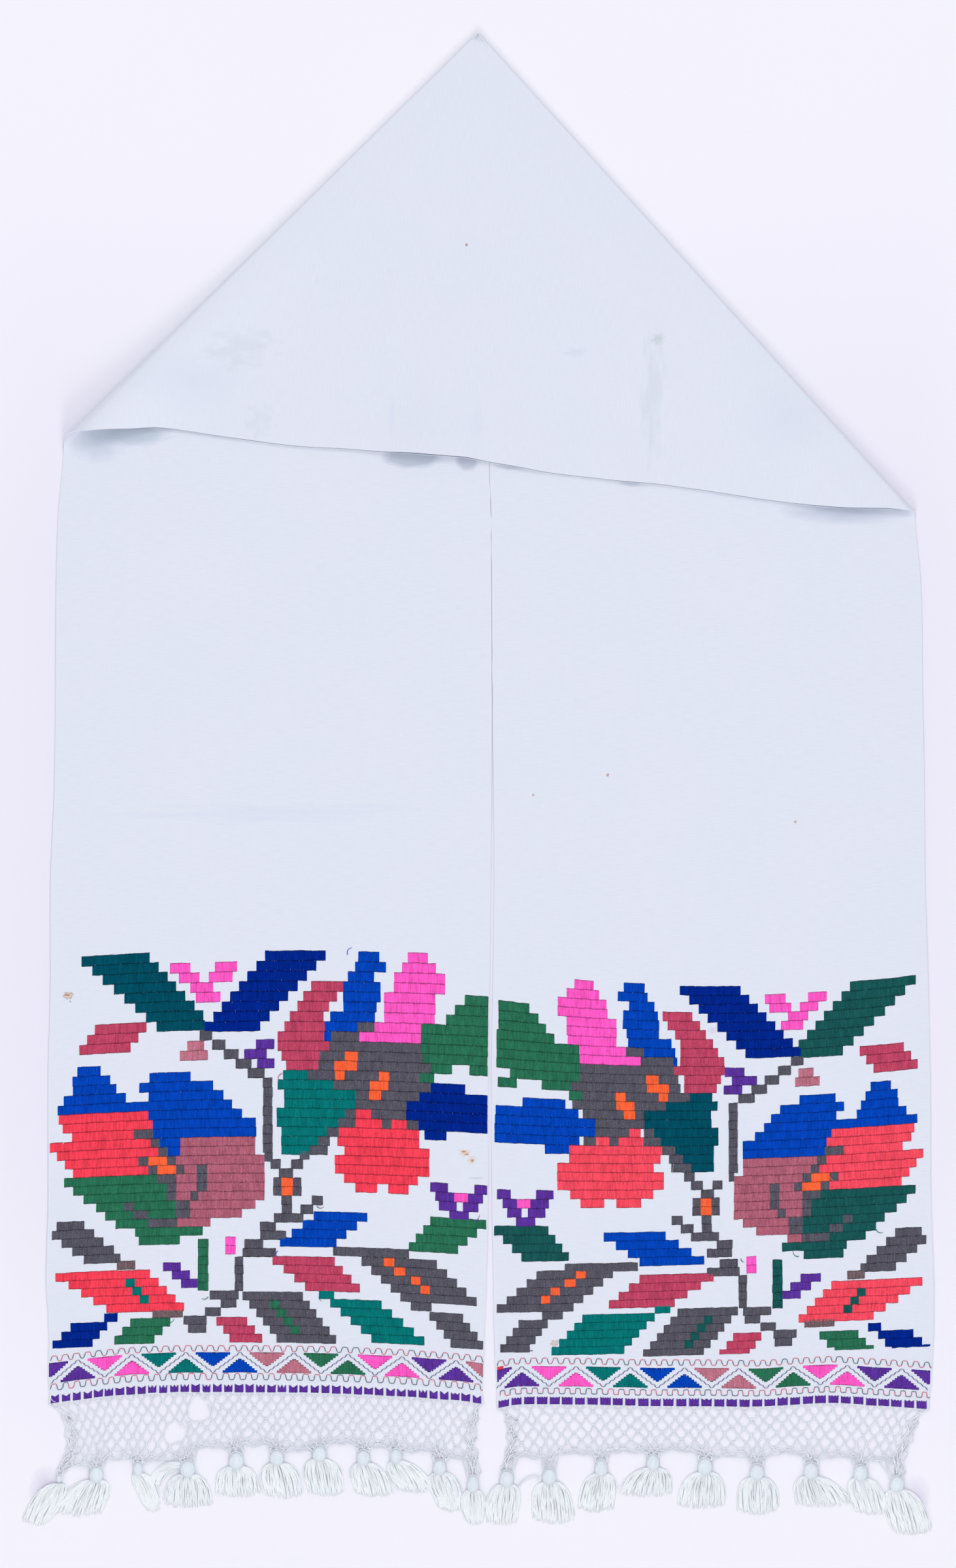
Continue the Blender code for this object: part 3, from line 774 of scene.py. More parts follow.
# Each finish: how rough and how shiny it is, and how deep its relief is in millimetres
Finish = namedtuple("Finish", "roughness shine relief relief_strength")
LINEN = Finish(0.95, 0.05, 0.05, 0.5)
WOOL = Finish(0.9, 0.02, 0.15, 0.6)
CORD = Finish(0.9, 0.1, 0.12, 0.6)
WOUND_YARN = Finish(0.9, 0.12, 0.3, 0.6)
FLOOR = Finish(0.9, 0.5, 0, 0)


def new_material(name, finish):
    """A Principled material with its constant values on the shader's own sockets."""
    material = bpy.data.materials.new(name)
    material.use_nodes = True
    shader = material.node_tree.nodes["Principled BSDF"]
    shader.inputs["Roughness"].default_value = finish.roughness
    shader.inputs["Specular IOR Level"].default_value = finish.shine
    return material, material.node_tree, shader


def use_group(tree, group, inputs):
    return put(tree, "ShaderNodeGroup", inputs, node_tree=group).outputs


def own_place(tree):
    return put(tree, "ShaderNodeTexCoord").outputs["Object"]


def attribute(tree, name):
    return put(tree, "ShaderNodeAttribute", attribute_name=name).outputs["Fac"]


def finish_material(tree, shader, colour, height, finish):
    """The last nodes of a material: its colour, and a bump by a height."""
    tree.links.new(colour, shader.inputs["Base Color"])
    inputs = {"Height": height, "Distance": finish.relief * MM, "Strength": finish.relief_strength}
    tree.links.new(put(tree, "ShaderNodeBump", inputs).outputs["Normal"], shader.inputs["Normal"])


def shaded(tree, colour, shade):
    """A colour made lighter or darker by a value."""
    grey = put(tree, "ShaderNodeCombineColor", {0: shade, 1: shade, 2: shade}).outputs[0]
    return blended(tree, 1.0, colour, grey, "MULTIPLY")


def spotted_colour(tree, spot, mark, place, centre_z, stretch_z, colour):
    """A colour with a mark on it, and the mark's own masks."""
    inputs = {
        "Place": place,
        "Centre": (mark.x * MM, mark.y * MM, centre_z),
        "Stretch": (1 / (mark.half_width * MM), 1 / (mark.half_height * MM), stretch_z),
        "Ragged": mark.ragged,
        "Softness": mark.softness,
    }
    spotted = use_group(tree, spot, inputs)
    share = times(tree, spotted["Mask"], mark.strength)
    return blended(tree, share, colour, daylight(mark.red, mark.green, mark.blue)), spotted


# The two tones that each plain finish moves between, as they look in even daylight
LINEN_TONES = ((221, 227, 239), (226, 230, 240))
LACE_TONES = ((236, 240, 246), (214, 220, 230))
YARN_TONES = ((250, 253, 255), (232, 241, 249))
SELVEDGE_TONES = ((236, 243, 250), (246, 250, 254))
HEAD_TONES = ((212, 225, 235), (240, 247, 252))
FLOOR_TONES = ((240, 240, 248), (244, 243, 250))

# How many times a metre of each cord is turned as it is spun
LACE_TURNS = 420.0
YARN_TURNS = 380.0
SELVEDGE_TURNS = 400.0

# How close the changes of tone lie in each finish, and how strong the linen's streaks are
LINEN_CLOUDS = 9.0
FLOOR_CLOUDS = 3.0
CORD_PATCHES = 38.0
WINDING_LINES = (1250.0, 40.0, 1250.0)
STREAK_SPAN = 0.14


def linen_material(weave, spot):
    material, tree, shader = new_material("linen", LINEN)
    strip = put(tree, "ShaderNodeUVMap", uv_map="strip").outputs[0]
    cloth = use_group(tree, weave, {"Strip": strip})
    place = own_place(tree)
    ground = between_tones(tree, noise_value(tree, place, LINEN_CLOUDS, 3.0), LINEN_TONES)
    streaks = maths(tree, "ADD", off_middle(tree, cloth["Streaks"], STREAK_SPAN), 1.0)
    colour = shaded(tree, ground, streaks)
    # Stains and painted shade through every layer, then the painted shade on the panels under the front's
    # free edge
    through = [(mark, 0.0, 1.0) for mark in MARKS_AND_PAINTED_SHADE]
    on_panels = [(shade, SHADE_Z * MM, 1 / (SHADE_DEPTH * MM)) for shade in SHADES]
    for mark, centre_z, stretch_z in through + on_panels:
        colour, spotted = spotted_colour(tree, spot, mark, place, centre_z, stretch_z, colour)
        if mark.rim:
            colour = shaded(tree, colour, maths(tree, "MULTIPLY_ADD", spotted["Rim"], -mark.rim, 1.0))
    finish_material(tree, shader, colour, cloth["Height"], LINEN)
    return material


def wool_material(wool, group):
    material, tree, shader = new_material("wool_" + wool.name, WOOL)
    inputs = {
        "Place": own_place(tree),
        "Tint": attribute(tree, "tint"),
        "Toward End": attribute(tree, "toward_end"),
        "Flecks": wool.flecks,
    }
    stitch = use_group(tree, group, inputs)
    colour = shaded(tree, daylight(wool.red, wool.green, wool.blue), stitch["Shade"])
    finish_material(tree, shader, colour, stitch["Fibres"], WOOL)
    return material


def cord_material(name, tones, turns, group):
    """Spun cord or yarn, its colour moving between two tones along it."""
    material, tree, shader = new_material(name, CORD)
    inputs = {"Along": attribute(tree, "spun"), "Around": attribute(tree, "around"), "Turns": turns}
    spun = use_group(tree, group, inputs)
    patches = noise_value(tree, own_place(tree), CORD_PATCHES)
    colour = between_tones(tree, times(tree, spun["Tone"], patches), tones)
    finish_material(tree, shader, colour, spun["Height"], CORD)
    return material


def head_material():
    """The wound yarn of a tassel's head, its fine lines running down it."""
    material, tree, shader = new_material("tassel_head", WOUND_YARN)
    lines = noise_value(tree, own_place(tree), WINDING_LINES, 1.0)
    finish_material(tree, shader, between_tones(tree, lines, HEAD_TONES), lines, WOUND_YARN)
    return material


# The floor has painted shade along the towel's long sides: how much, in which colour, how far out
# and how far up and down from its middle it fades away, in metres
FLOOR_SHADE = 0.45
FLOOR_SHADE_COLOUR = (222, 217, 236)
FLOOR_SHADE_Y = -0.05
SHADE_ENDS_OUT = (0.55, 0.40)
SHADE_ENDS_UP = (0.62, 0.25)

# The shadows beside the two outermost tassels, in millimetres
FLOOR_SPOTS = table(
    MARK_COLUMNS,
    (-397, -646, 17, 24, 0.15, 1, 0.7, 190, 184, 212),
    (402, -657, 15, 27, 0.15, 1, 0.65, 192, 186, 214),
    defaults=(0,),
)


def floor_material(spot):
    material, tree, shader = new_material("pale_floor", FLOOR)
    place = own_place(tree)
    clean = between_tones(tree, noise_value(tree, place, FLOOR_CLOUDS), FLOOR_TONES)
    # Painted shade along the towel's long sides, then the painted shadows beside the outermost tassels
    at = parts_of(tree, place)
    outwards = maths(tree, "ABSOLUTE", at["X"])
    upwards = maths(tree, "ABSOLUTE", maths(tree, "SUBTRACT", at["Y"], FLOOR_SHADE_Y))
    beside = times(tree, faded(tree, outwards, *SHADE_ENDS_OUT), faded(tree, upwards, *SHADE_ENDS_UP))
    colour = blended(tree, times(tree, beside, FLOOR_SHADE), clean, daylight(*FLOOR_SHADE_COLOUR))
    for mark in FLOOR_SPOTS:
        colour, _ = spotted_colour(tree, spot, mark, place, 0.0, 1.0, colour)
    tree.links.new(colour, shader.inputs["Base Color"])
    return material


# Geometry node trees

# A satin stitch: how it arches over its length, how far it may slant, and how unevenly the wool is
# laid, from the least to the most of each
STITCH_ARCH = 4.0
STITCH_SLANT = 0.03
STITCH_NUDGES = (-0.06 * MM, 0.06 * MM)
STITCH_TINTS = (-0.5, 0.5)
STITCH_OVERLAPS = (0.75 * MM, 0.95 * MM)
STITCH_WIDTHS = (0.92, 1.1)
STITCH_HEIGHTS = (0.85, 1.15)
STITCH_SLANTS = (-1.0, 1.0)


def kept_on_points(tree, geometry, name, value):
    """A geometry with a value kept on each of its points."""
    inputs = {"Geometry": geometry, "Name": name, "Value": value}
    settings = {"data_type": "FLOAT", "domain": "POINT"}
    return put(tree, "GeometryNodeStoreNamedAttribute", inputs, **settings).outputs[0]


def kept_value(tree, name):
    return put(tree, "GeometryNodeInputNamedAttribute", {"Name": name}, data_type="FLOAT").outputs[0]


def one_stitch(tree, width, height):
    """A stitch of length 1 along Y: a strip arched over its width and its length, square at its ends."""
    sizes = {"Size X": 1.0, "Size Y": 1.0, "Vertices X": 4, "Vertices Y": 4}
    grid = put(tree, "GeometryNodeMeshGrid", sizes)
    place = parts_of(tree, put(tree, "GeometryNodeInputPosition").outputs[0])
    half_turn = maths(tree, "MULTIPLY_ADD", place["X"], math.pi, math.pi / 2)
    from_middle = maths(tree, "ABSOLUTE", times(tree, place["Y"], 2.0))
    aside = times(tree, maths(tree, "COSINE", half_turn), times(tree, width, -0.5))
    near_ends = times(tree, maths(tree, "POWER", from_middle, STITCH_SQUARENESS), 0.5)
    along = times(tree, near_ends, maths(tree, "SIGN", place["Y"]))
    arch = maths(tree, "SUBTRACT", 1.0, maths(tree, "POWER", from_middle, STITCH_ARCH))
    up = times(tree, arch, times(tree, maths(tree, "SINE", half_turn), height))
    # toward_end runs from 0 in the stitch's middle to 1 at its ends, and sets the painted shade at its ends
    marked = kept_on_points(tree, grid.outputs["Mesh"], "toward_end", from_middle)
    inputs = {"Geometry": marked, "Position": vector_of(tree, aside, along, up)}
    return put(tree, "GeometryNodeSetPosition", inputs).outputs[0]


def satin_tree():
    """Satin stitches side by side along each run, all reaching from the run's line by its reach."""
    tree, ins, outs = new_group(
        "satin_stitches",
        "GeometryNodeTree",
        [
            ("Runs", "Geometry"),
            ("Pitch", "Float", STITCH_PITCH),
            ("Width", "Float", STITCH_WIDTH),
            ("Height", "Float", STITCH_HEIGHT),
            ("Slant", "Float", STITCH_SLANT),
            ("Seed", "Int", 0),
            ("Wool", "Material"),
        ],
        [("Stitches", "Geometry")],
    )

    def scatter(limits, number):
        seed = maths(tree, "ADD", ins["Seed"], float(number))
        inputs = {"Min_001": limits[0], "Max_001": limits[1], "Seed": seed}
        return put(tree, "FunctionNodeRandomValue", inputs, data_type="FLOAT").outputs[1]

    curves = put(tree, "GeometryNodeMeshToCurve", {"Mesh": ins["Runs"]}).outputs[0]
    pitch = {"Curve": curves, "Length": ins["Pitch"]}
    places = put(tree, "GeometryNodeResampleCurve", pitch, mode="LENGTH").outputs[0]
    reach = kept_value(tree, "reach")
    halfway = maths(tree, "MULTIPLY_ADD", reach, 0.5, scatter(STITCH_NUDGES, 1))
    nudge = {"Geometry": places, "Offset": vector_of(tree, 0.0, halfway)}
    nudged = put(tree, "GeometryNodeSetPosition", nudge).outputs[0]
    tinted = kept_on_points(tree, nudged, "tint", scatter(STITCH_TINTS, 2))
    length = maths(tree, "ADD", maths(tree, "ABSOLUTE", reach), scatter(STITCH_OVERLAPS, 3))
    size = vector_of(tree, scatter(STITCH_WIDTHS, 4), length, scatter(STITCH_HEIGHTS, 5))
    slant = vector_of(tree, 0.0, 0.0, times(tree, scatter(STITCH_SLANTS, 6), ins["Slant"]))
    inputs = {
        "Points": tinted,
        "Instance": one_stitch(tree, ins["Width"], ins["Height"]),
        "Rotation": put(tree, "FunctionNodeEulerToRotation", {0: slant}).outputs[0],
        "Scale": size,
    }
    laid = put(tree, "GeometryNodeInstanceOnPoints", inputs)
    finish_tree(tree, laid.outputs[0], ins["Wool"], outs["Stitches"])
    return tree


def thread_tree():
    """A round thread along each route, as thick at each point as the route says."""
    tree, ins, outs = new_group(
        "laid_threads",
        "GeometryNodeTree",
        [
            ("Routes", "Geometry"),
            ("Radius", "Float", 0.5 * MM),
            ("Sides", "Int", 5),
            ("Yarn", "Material"),
        ],
        [("Threads", "Geometry")],
    )
    curves = put(tree, "GeometryNodeMeshToCurve", {"Mesh": ins["Routes"]}).outputs[0]
    ring = put(
        tree, "GeometryNodeCurvePrimitiveCircle", {"Resolution": ins["Sides"], "Radius": ins["Radius"]}
    )
    along = put(tree, "GeometryNodeSplineParameter").outputs
    inputs = {
        "Curve": kept_on_points(tree, curves, "spun", along["Length"]),
        "Profile Curve": kept_on_points(tree, ring.outputs["Curve"], "around", along["Factor"]),
        "Scale": kept_value(tree, "girth"),
        "Fill Caps": True,
    }
    tube = put(tree, "GeometryNodeCurveToMesh", inputs)
    finish_tree(tree, tube.outputs[0], ins["Yarn"], outs["Threads"])
    return tree


def finish_tree(tree, geometry, material, output):
    """The last nodes of every tree: instances made real, smooth faces, and the material."""
    real = put(tree, "GeometryNodeRealizeInstances", {"Geometry": geometry})
    smooth = put(tree, "GeometryNodeSetShadeSmooth", {"Geometry": real.outputs[0]})
    dressed = put(tree, "GeometryNodeSetMaterial", {"Geometry": smooth.outputs[0], "Material": material})
    tree.links.new(dressed.outputs[0], output)


def add_object(name, data):
    made = bpy.data.objects.new(name, data)
    bpy.context.scene.collection.objects.link(made)
    return made


def add_shape(name, shape, material):
    """A new object from a finished shape, all in one material."""
    mesh = bpy.data.meshes.new(name)
    shape.to_mesh(mesh)
    shape.free()
    mesh.materials.append(material)
    return add_object(name, mesh)


def wire_object(name, lines, value_name):
    """A mesh of open lines: each point is (x, y, z, value), the value kept as an attribute."""
    points, edges, values = [], [], []
    for line in lines:
        for i, (x, y, z, value) in enumerate(line):
            if i:
                edges.append((len(points) - 1, len(points)))
            points.append((x, y, z))
            values.append(value)
    mesh = bpy.data.meshes.new(name)
    mesh.from_pydata(points, edges, [])
    mesh.attributes.new(value_name, "FLOAT", "POINT").data.foreach_set("value", values)
    return add_object(name, mesh)


def grow(guide, tree, material, **values):
    """Runs a tree on a guide and leaves a plain mesh in its place."""
    modifier = guide.modifiers.new(tree.name, "NODES")
    modifier.node_group = tree
    for socket in tree.interface.items_tree:
        if socket.in_out == "INPUT" and socket.name in values:
            modifier[socket.identifier] = values[socket.name]
    bpy.context.view_layer.update()
    graph = bpy.context.evaluated_depsgraph_get()
    mesh = bpy.data.meshes.new_from_object(guide.evaluated_get(graph))
    guide.modifiers.clear()
    guide.data = mesh
    if not mesh.materials:
        mesh.materials.append(material)
    return guide


def lay_threads(name, routes, radius, sides, material):
    guide = wire_object(name, routes, "girth")
    return grow(guide, THREADS, material, Radius=radius, Sides=sides, Yarn=material)


def sew(name, runs, seed, material):
    guide = wire_object(name, runs, "reach")
    return grow(guide, SATIN, material, Seed=seed, Wool=material)


# The cloth

class Fold:
    """One diagonal fold, from the point where both folds meet to the corner at the outer selvedge."""

    def __init__(self, side):
        self.side = side
        inwards = INWARDS[side]
        corner = CORNER[side]
        self.top = (POINT[0] - inwards * POINT_WIDTH / 2, POINT[1])
        run, rise = self.top[0] - corner[0], self.top[1] - corner[1]
        length = math.hypot(run, rise)
        self.slope = rise / run
        self.up = (run / length, rise / length)
        self.out = (-inwards * rise / length, inwards * run / length)

    def selvedge_x(self, across, y):
        """The x of a lengthwise thread, by its share of the width out from the inner selvedge."""
        inner = smooth_through(SELVEDGE[self.side + "_inner"], y)
        outer = smooth_through(SELVEDGE[self.side + "_outer"], y)
        return mix(inner, outer, across)

    def share_at(self, x, y):
        """The share of the width at a place on the panel."""
        inner, outer = self.selvedge_x(0.0, y), self.selvedge_x(1.0, y)
        return (x - inner) / (outer - inner)

    def roll(self, across):
        """The fold is creased at its point, and a loose roll at the corner."""
        return FINE_ROLL + (CORNER_ROLL[self.side] - FINE_ROLL) * across**ROLL_GROWTH

    @lru_cache(maxsize=None)
    def turning_place(self, across):
        """Where a lengthwise thread crosses the fold's outline, by stepping between thread and fold."""
        y = self.top[1]
        for _ in range(TURNING_STEPS):
            x = self.selvedge_x(across, y)
            y = self.top[1] + (x - self.top[0]) * self.slope
        return x, y

    def on_roll(self, across, turned):
        """A point of the roll, for turned from 0 on the panel's side to 1 on the front's side."""
        radius = self.roll(across)
        x, y = self.turning_place(across)
        angle = math.pi * turned
        outwards = radius * (math.sin(angle) - 1)
        along = math.pi * radius * (turned - 0.5)
        return (
            x + self.out[0] * outwards + self.up[0] * along,
            y + self.out[1] * outwards + self.up[1] * along,
            CLOTH_THICKNESS / 2 + radius * (1 - math.cos(angle)),
        )


FOLDS = {"left": Fold("left"), "right": Fold("right")}

# Soft creases, in millimetres: a low ridge about a line from one end to the other
CREASES = table(
    "layer x0 y0 x1 y1 half_width height",
    ("front", -78, 480, -84, 310, 9, 1.1),
    ("front", -10, 520, -2, 302, 10, 1.3),
    ("front", -290, 372, -245, 352, 16, 1.6),
    ("front", 150, 470, 176, 300, 14, 0.8),
    ("front", 250, 360, 330, 290, 16, 1),
    ("left", -380, 138, -20, 137, 5, 0.5),
    ("right", 40, 136, 380, 141, 5, 0.5),
    ("left", -330, -20, -60, -16, 7, 0.4),
    ("right", 60, -60, 350, -52, 8, 0.4),
    ("left", -390, 250, -200, 225, 18, 0.7),
    ("right", 230, 205, 400, 190, 18, 0.7),
)

# A crease grows from this share of its height at its ends, over a quarter of its length
CREASE_AT_ENDS = 0.1
CREASE_FADE = 4


def uneven(x, y, z):
    """A slow unevenness from -1 to 1, by a place in wavelengths."""
    return noise.noise(Vector((x, y, z)))


def relief(layer, x, y):
    """How far the cloth rises off its solid's middle at a place: its creases and a slow unevenness."""
    spot = Vector((x, y, 3.0 if layer == "front" else 0.0)) / SOFT_WAVE_LENGTH
    height = SOFT_WAVE * (0.5 + 0.5 * noise.noise(spot))
    for crease in CREASES:
        if crease.layer != layer:
            continue
        start, end = Vector((crease.x0, crease.y0)) * MM, Vector((crease.x1, crease.y1)) * MM
        line, here = end - start, Vector((x, y)) - start
        t = clamp(here.dot(line) / line.length_squared)
        fade = min(1.0, CREASE_FADE * min(t, 1 - t) + CREASE_AT_ENDS)
        height += crease.height * MM * fade * bell((here - line * t).length, crease.half_width * MM)
    return height


def seam_closing(side, across, y):
    """How far a panel's inner edge is sewn in towards the other panel, above where they part."""
    closed = clamp((y - SEAM_FOOT) / SEAM_FADE)
    closed *= 1 + SEAM_UNEVENNESS * uneven(0.0, y / SEAM_UNEVENNESS_LENGTH, 3.0)
    return INWARDS[side] * SEAM_CLOSING * closed * (1 - across) ** SEAM_REACH


def on_panel(side, across, up):
    """A point of a panel, for up from 0 at the hem to 1 where the roll begins."""
    fold = FOLDS[side]
    hem_y = smooth_through(HEM[side], across)
    end_x, end_y, _ = fold.on_roll(across, 0.0)
    y = mix(hem_y, end_y, up)
    x = fold.selvedge_x(across, y)
    drift = end_x - fold.selvedge_x(across, end_y)
    x += drift * up**DRIFT_POWER + seam_closing(side, across, y)
    held_down = 1 - up**DRIFT_POWER
    return x, y, CLOTH_THICKNESS / 2 + relief(side, x, y) * held_down


def on_front(across, along):
    """A point of the front layer, for along from 0 at the left fold to 1 at the right fold."""
    start = FOLDS["left"].on_roll(across, 1.0)
    end = FOLDS["right"].on_roll(across, 1.0)
    x = mix(start[0], end[0], along)
    y = mix(start[1], end[1], along)

    edge_start, edge_end = FOLDS["left"].on_roll(1.0, 1.0), FOLDS["right"].on_roll(1.0, 1.0)
    edge_x = mix(edge_start[0], edge_end[0], along)
    bow = smooth_through(EDGE_Y, edge_x) - mix(edge_start[1], edge_end[1], along)
    length = math.hypot(end[0] - start[0], end[1] - start[1])
    near_end = min(1.0, min(along, 1 - along) * length / EDGE_JOINS_OVER)
    y += bow * across**2 * near_end * (2 - near_end)

    flat = CLOTH_THICKNESS / 2 + 2 * FINE_ROLL
    raised = (start[2] - flat) * bell(along * length, ROLL_FLATTENS_OVER)
    raised += (end[2] - flat) * bell((1 - along) * length, ROLL_FLATTENS_OVER)
    near_fold = min(1.0, min(along, 1 - along) * length / ROLL_FLATTENS_OVER)
    lift = smooth_through(EDGE_LIFT, edge_x) * bell(1 - across, LIFT_REACH)
    ridge = RIDGE_HEIGHT * bell(x - RIDGE_X, RIDGE_HALF_WIDTH) * bell(1 - across, RIDGE_REACH)
    height = flat + raised + (lift + ridge + SOFT_WAVE + relief("front", x, y)) * near_fold
    return x, y, height


def part_of_strip(row):
    """The part of the strip that a row is in, and how far through that part it lies."""
    for part, rows in STRIP_PARTS:
        if row <= rows:
            return part, row / rows
        row -= rows


def on_cloth(across, row):
    """A point on the middle of the cloth's thickness, by its share of the width and its row."""
    part, through = part_of_strip(row)
    if part == "left panel":
        return on_panel("left", across, through)
    if part == "left roll":
        return FOLDS["left"].on_roll(across, through)
    if part == "front":
        return on_front(across, through)
    if part == "right roll":
        return FOLDS["right"].on_roll(across, 1 - through)
    return on_panel("right", across, 1 - through)


# The grey thread along the front's free edge: where it starts and ends, and how uneven it is
EDGE_LINE_ENDS = (0.13, 0.985)
EDGE_LINE_UNEVENNESS = 0.6
EDGE_LINE_WAVE_LENGTH = 14 * MM
PANELS_MEET_X = 10 * MM
EDGE_LINE_LIFT = 0.25 * MM
EDGE_LINE_TIP = 0.1
EDGE_LINE_SWELLING = 10


def edge_line():
    """The thin grey thread that shows all along under the front's free edge."""
    route = []
    for i in range(EDGE_LINE_STEPS + 1):
        x, y, _ = on_front(1.0, mix(*EDGE_LINE_ENDS, i / EDGE_LINE_STEPS))
        wave = uneven(x / EDGE_LINE_WAVE_LENGTH, 2.0, 0.0)
        y -= EDGE_LINE_DROP * (1 + wave)
        side = "left" if x < PANELS_MEET_X else "right"
        swell = min(1.0, EDGE_LINE_TIP + EDGE_LINE_SWELLING * i / EDGE_LINE_STEPS)
        girth = swell * (1.0 + EDGE_LINE_UNEVENNESS * wave)
        route.append((x, y, cloth_top(side, x, y) + EDGE_LINE_LIFT, girth))
    return route


def selvedge_wave(across, along):
    """The slight unevenness of a selvedge, in and out."""
    if 0 < across < 1:
        return 0.0
    return SELVEDGE_WAVE * uneven(across * 7.0, along * STRIP_LENGTH / SELVEDGE_WAVE_LENGTH, 0.0)


def along_strip(across, row, y):
    """How far along the woven strip a point lies, measured on each panel from its own hem."""
    foot = {side: smooth_through(HEM[side], across) for side in FOLDS}
    front_ends = {}
    for side, fold in FOLDS.items():
        roll_start = fold.on_roll(across, 0.0)[1] - foot[side]
        front_ends[side] = (roll_start, roll_start + math.pi * fold.roll(across))
    part, through = part_of_strip(row)
    if part == "left panel":
        return y - foot["left"]
    if part == "left roll":
        return mix(*front_ends["left"], through)
    if part == "front":
        return mix(front_ends["left"][1], WOVEN_LENGTH - front_ends["right"][1], through)
    if part == "right roll":
        return WOVEN_LENGTH - mix(*front_ends["right"], 1 - through)
    return WOVEN_LENGTH - (y - foot["right"])


def make_cloth(material):
    """A flat grid, its points carried to their folded places, made solid, with a map in strip metres."""
    rows = sum(part_rows for _, part_rows in STRIP_PARTS)
    grid = bmesh.new()
    bmesh.ops.create_grid(grid, x_segments=STRIPS_ACROSS, y_segments=rows, size=0.5)
    strip = grid.loops.layers.uv.new("strip")
    for vertex in grid.verts:
        across, along = vertex.co.x + 0.5, vertex.co.y + 0.5
        across = round(across * STRIPS_ACROSS) / STRIPS_ACROSS
        row = round(along * rows)
        x, y, z = on_cloth(across, row)
        for loop in vertex.link_loops:
            loop[strip].uv = (across * STRIP_WIDTH, along_strip(across, row, y))
        vertex.co = (x + selvedge_wave(across, along), y, z)
    bmesh.ops.recalc_face_normals(grid, faces=grid.faces)
    for edge in grid.edges:
        edge.smooth = not edge.is_boundary
    cloth = add_shape("woven_cloth", grid, material)
    cloth.data.shade_smooth()
    solid = cloth.modifiers.new("thickness", "SOLIDIFY")
    solid.thickness = CLOTH_THICKNESS
    solid.offset = 0.0
    return cloth


# The stitch chart: every motif is rows of runs from one count to another, counted outwards from the
# motif's inner end

def leaf(rows, width, step, taper=0.0):
    """A slanting leaf: each row lies a step further out than the one above, and is narrower."""
    return [[(step * i, step * i + width - taper * i)] for i in range(rows)]


def spots(step, *starts):
    """Single counts, one in a row, a step further out each time; a row may be left empty."""
    return [[] if s is None else [(s + step * i, s + step * i + 1)] for i, s in enumerate(starts)]


def counted(text):
    """Rows of runs, each run written first:last, and the runs of one row joined by a plus."""
    return [[tuple(map(float, run.split(":"))) for run in row.split("+")] for row in text.split()]


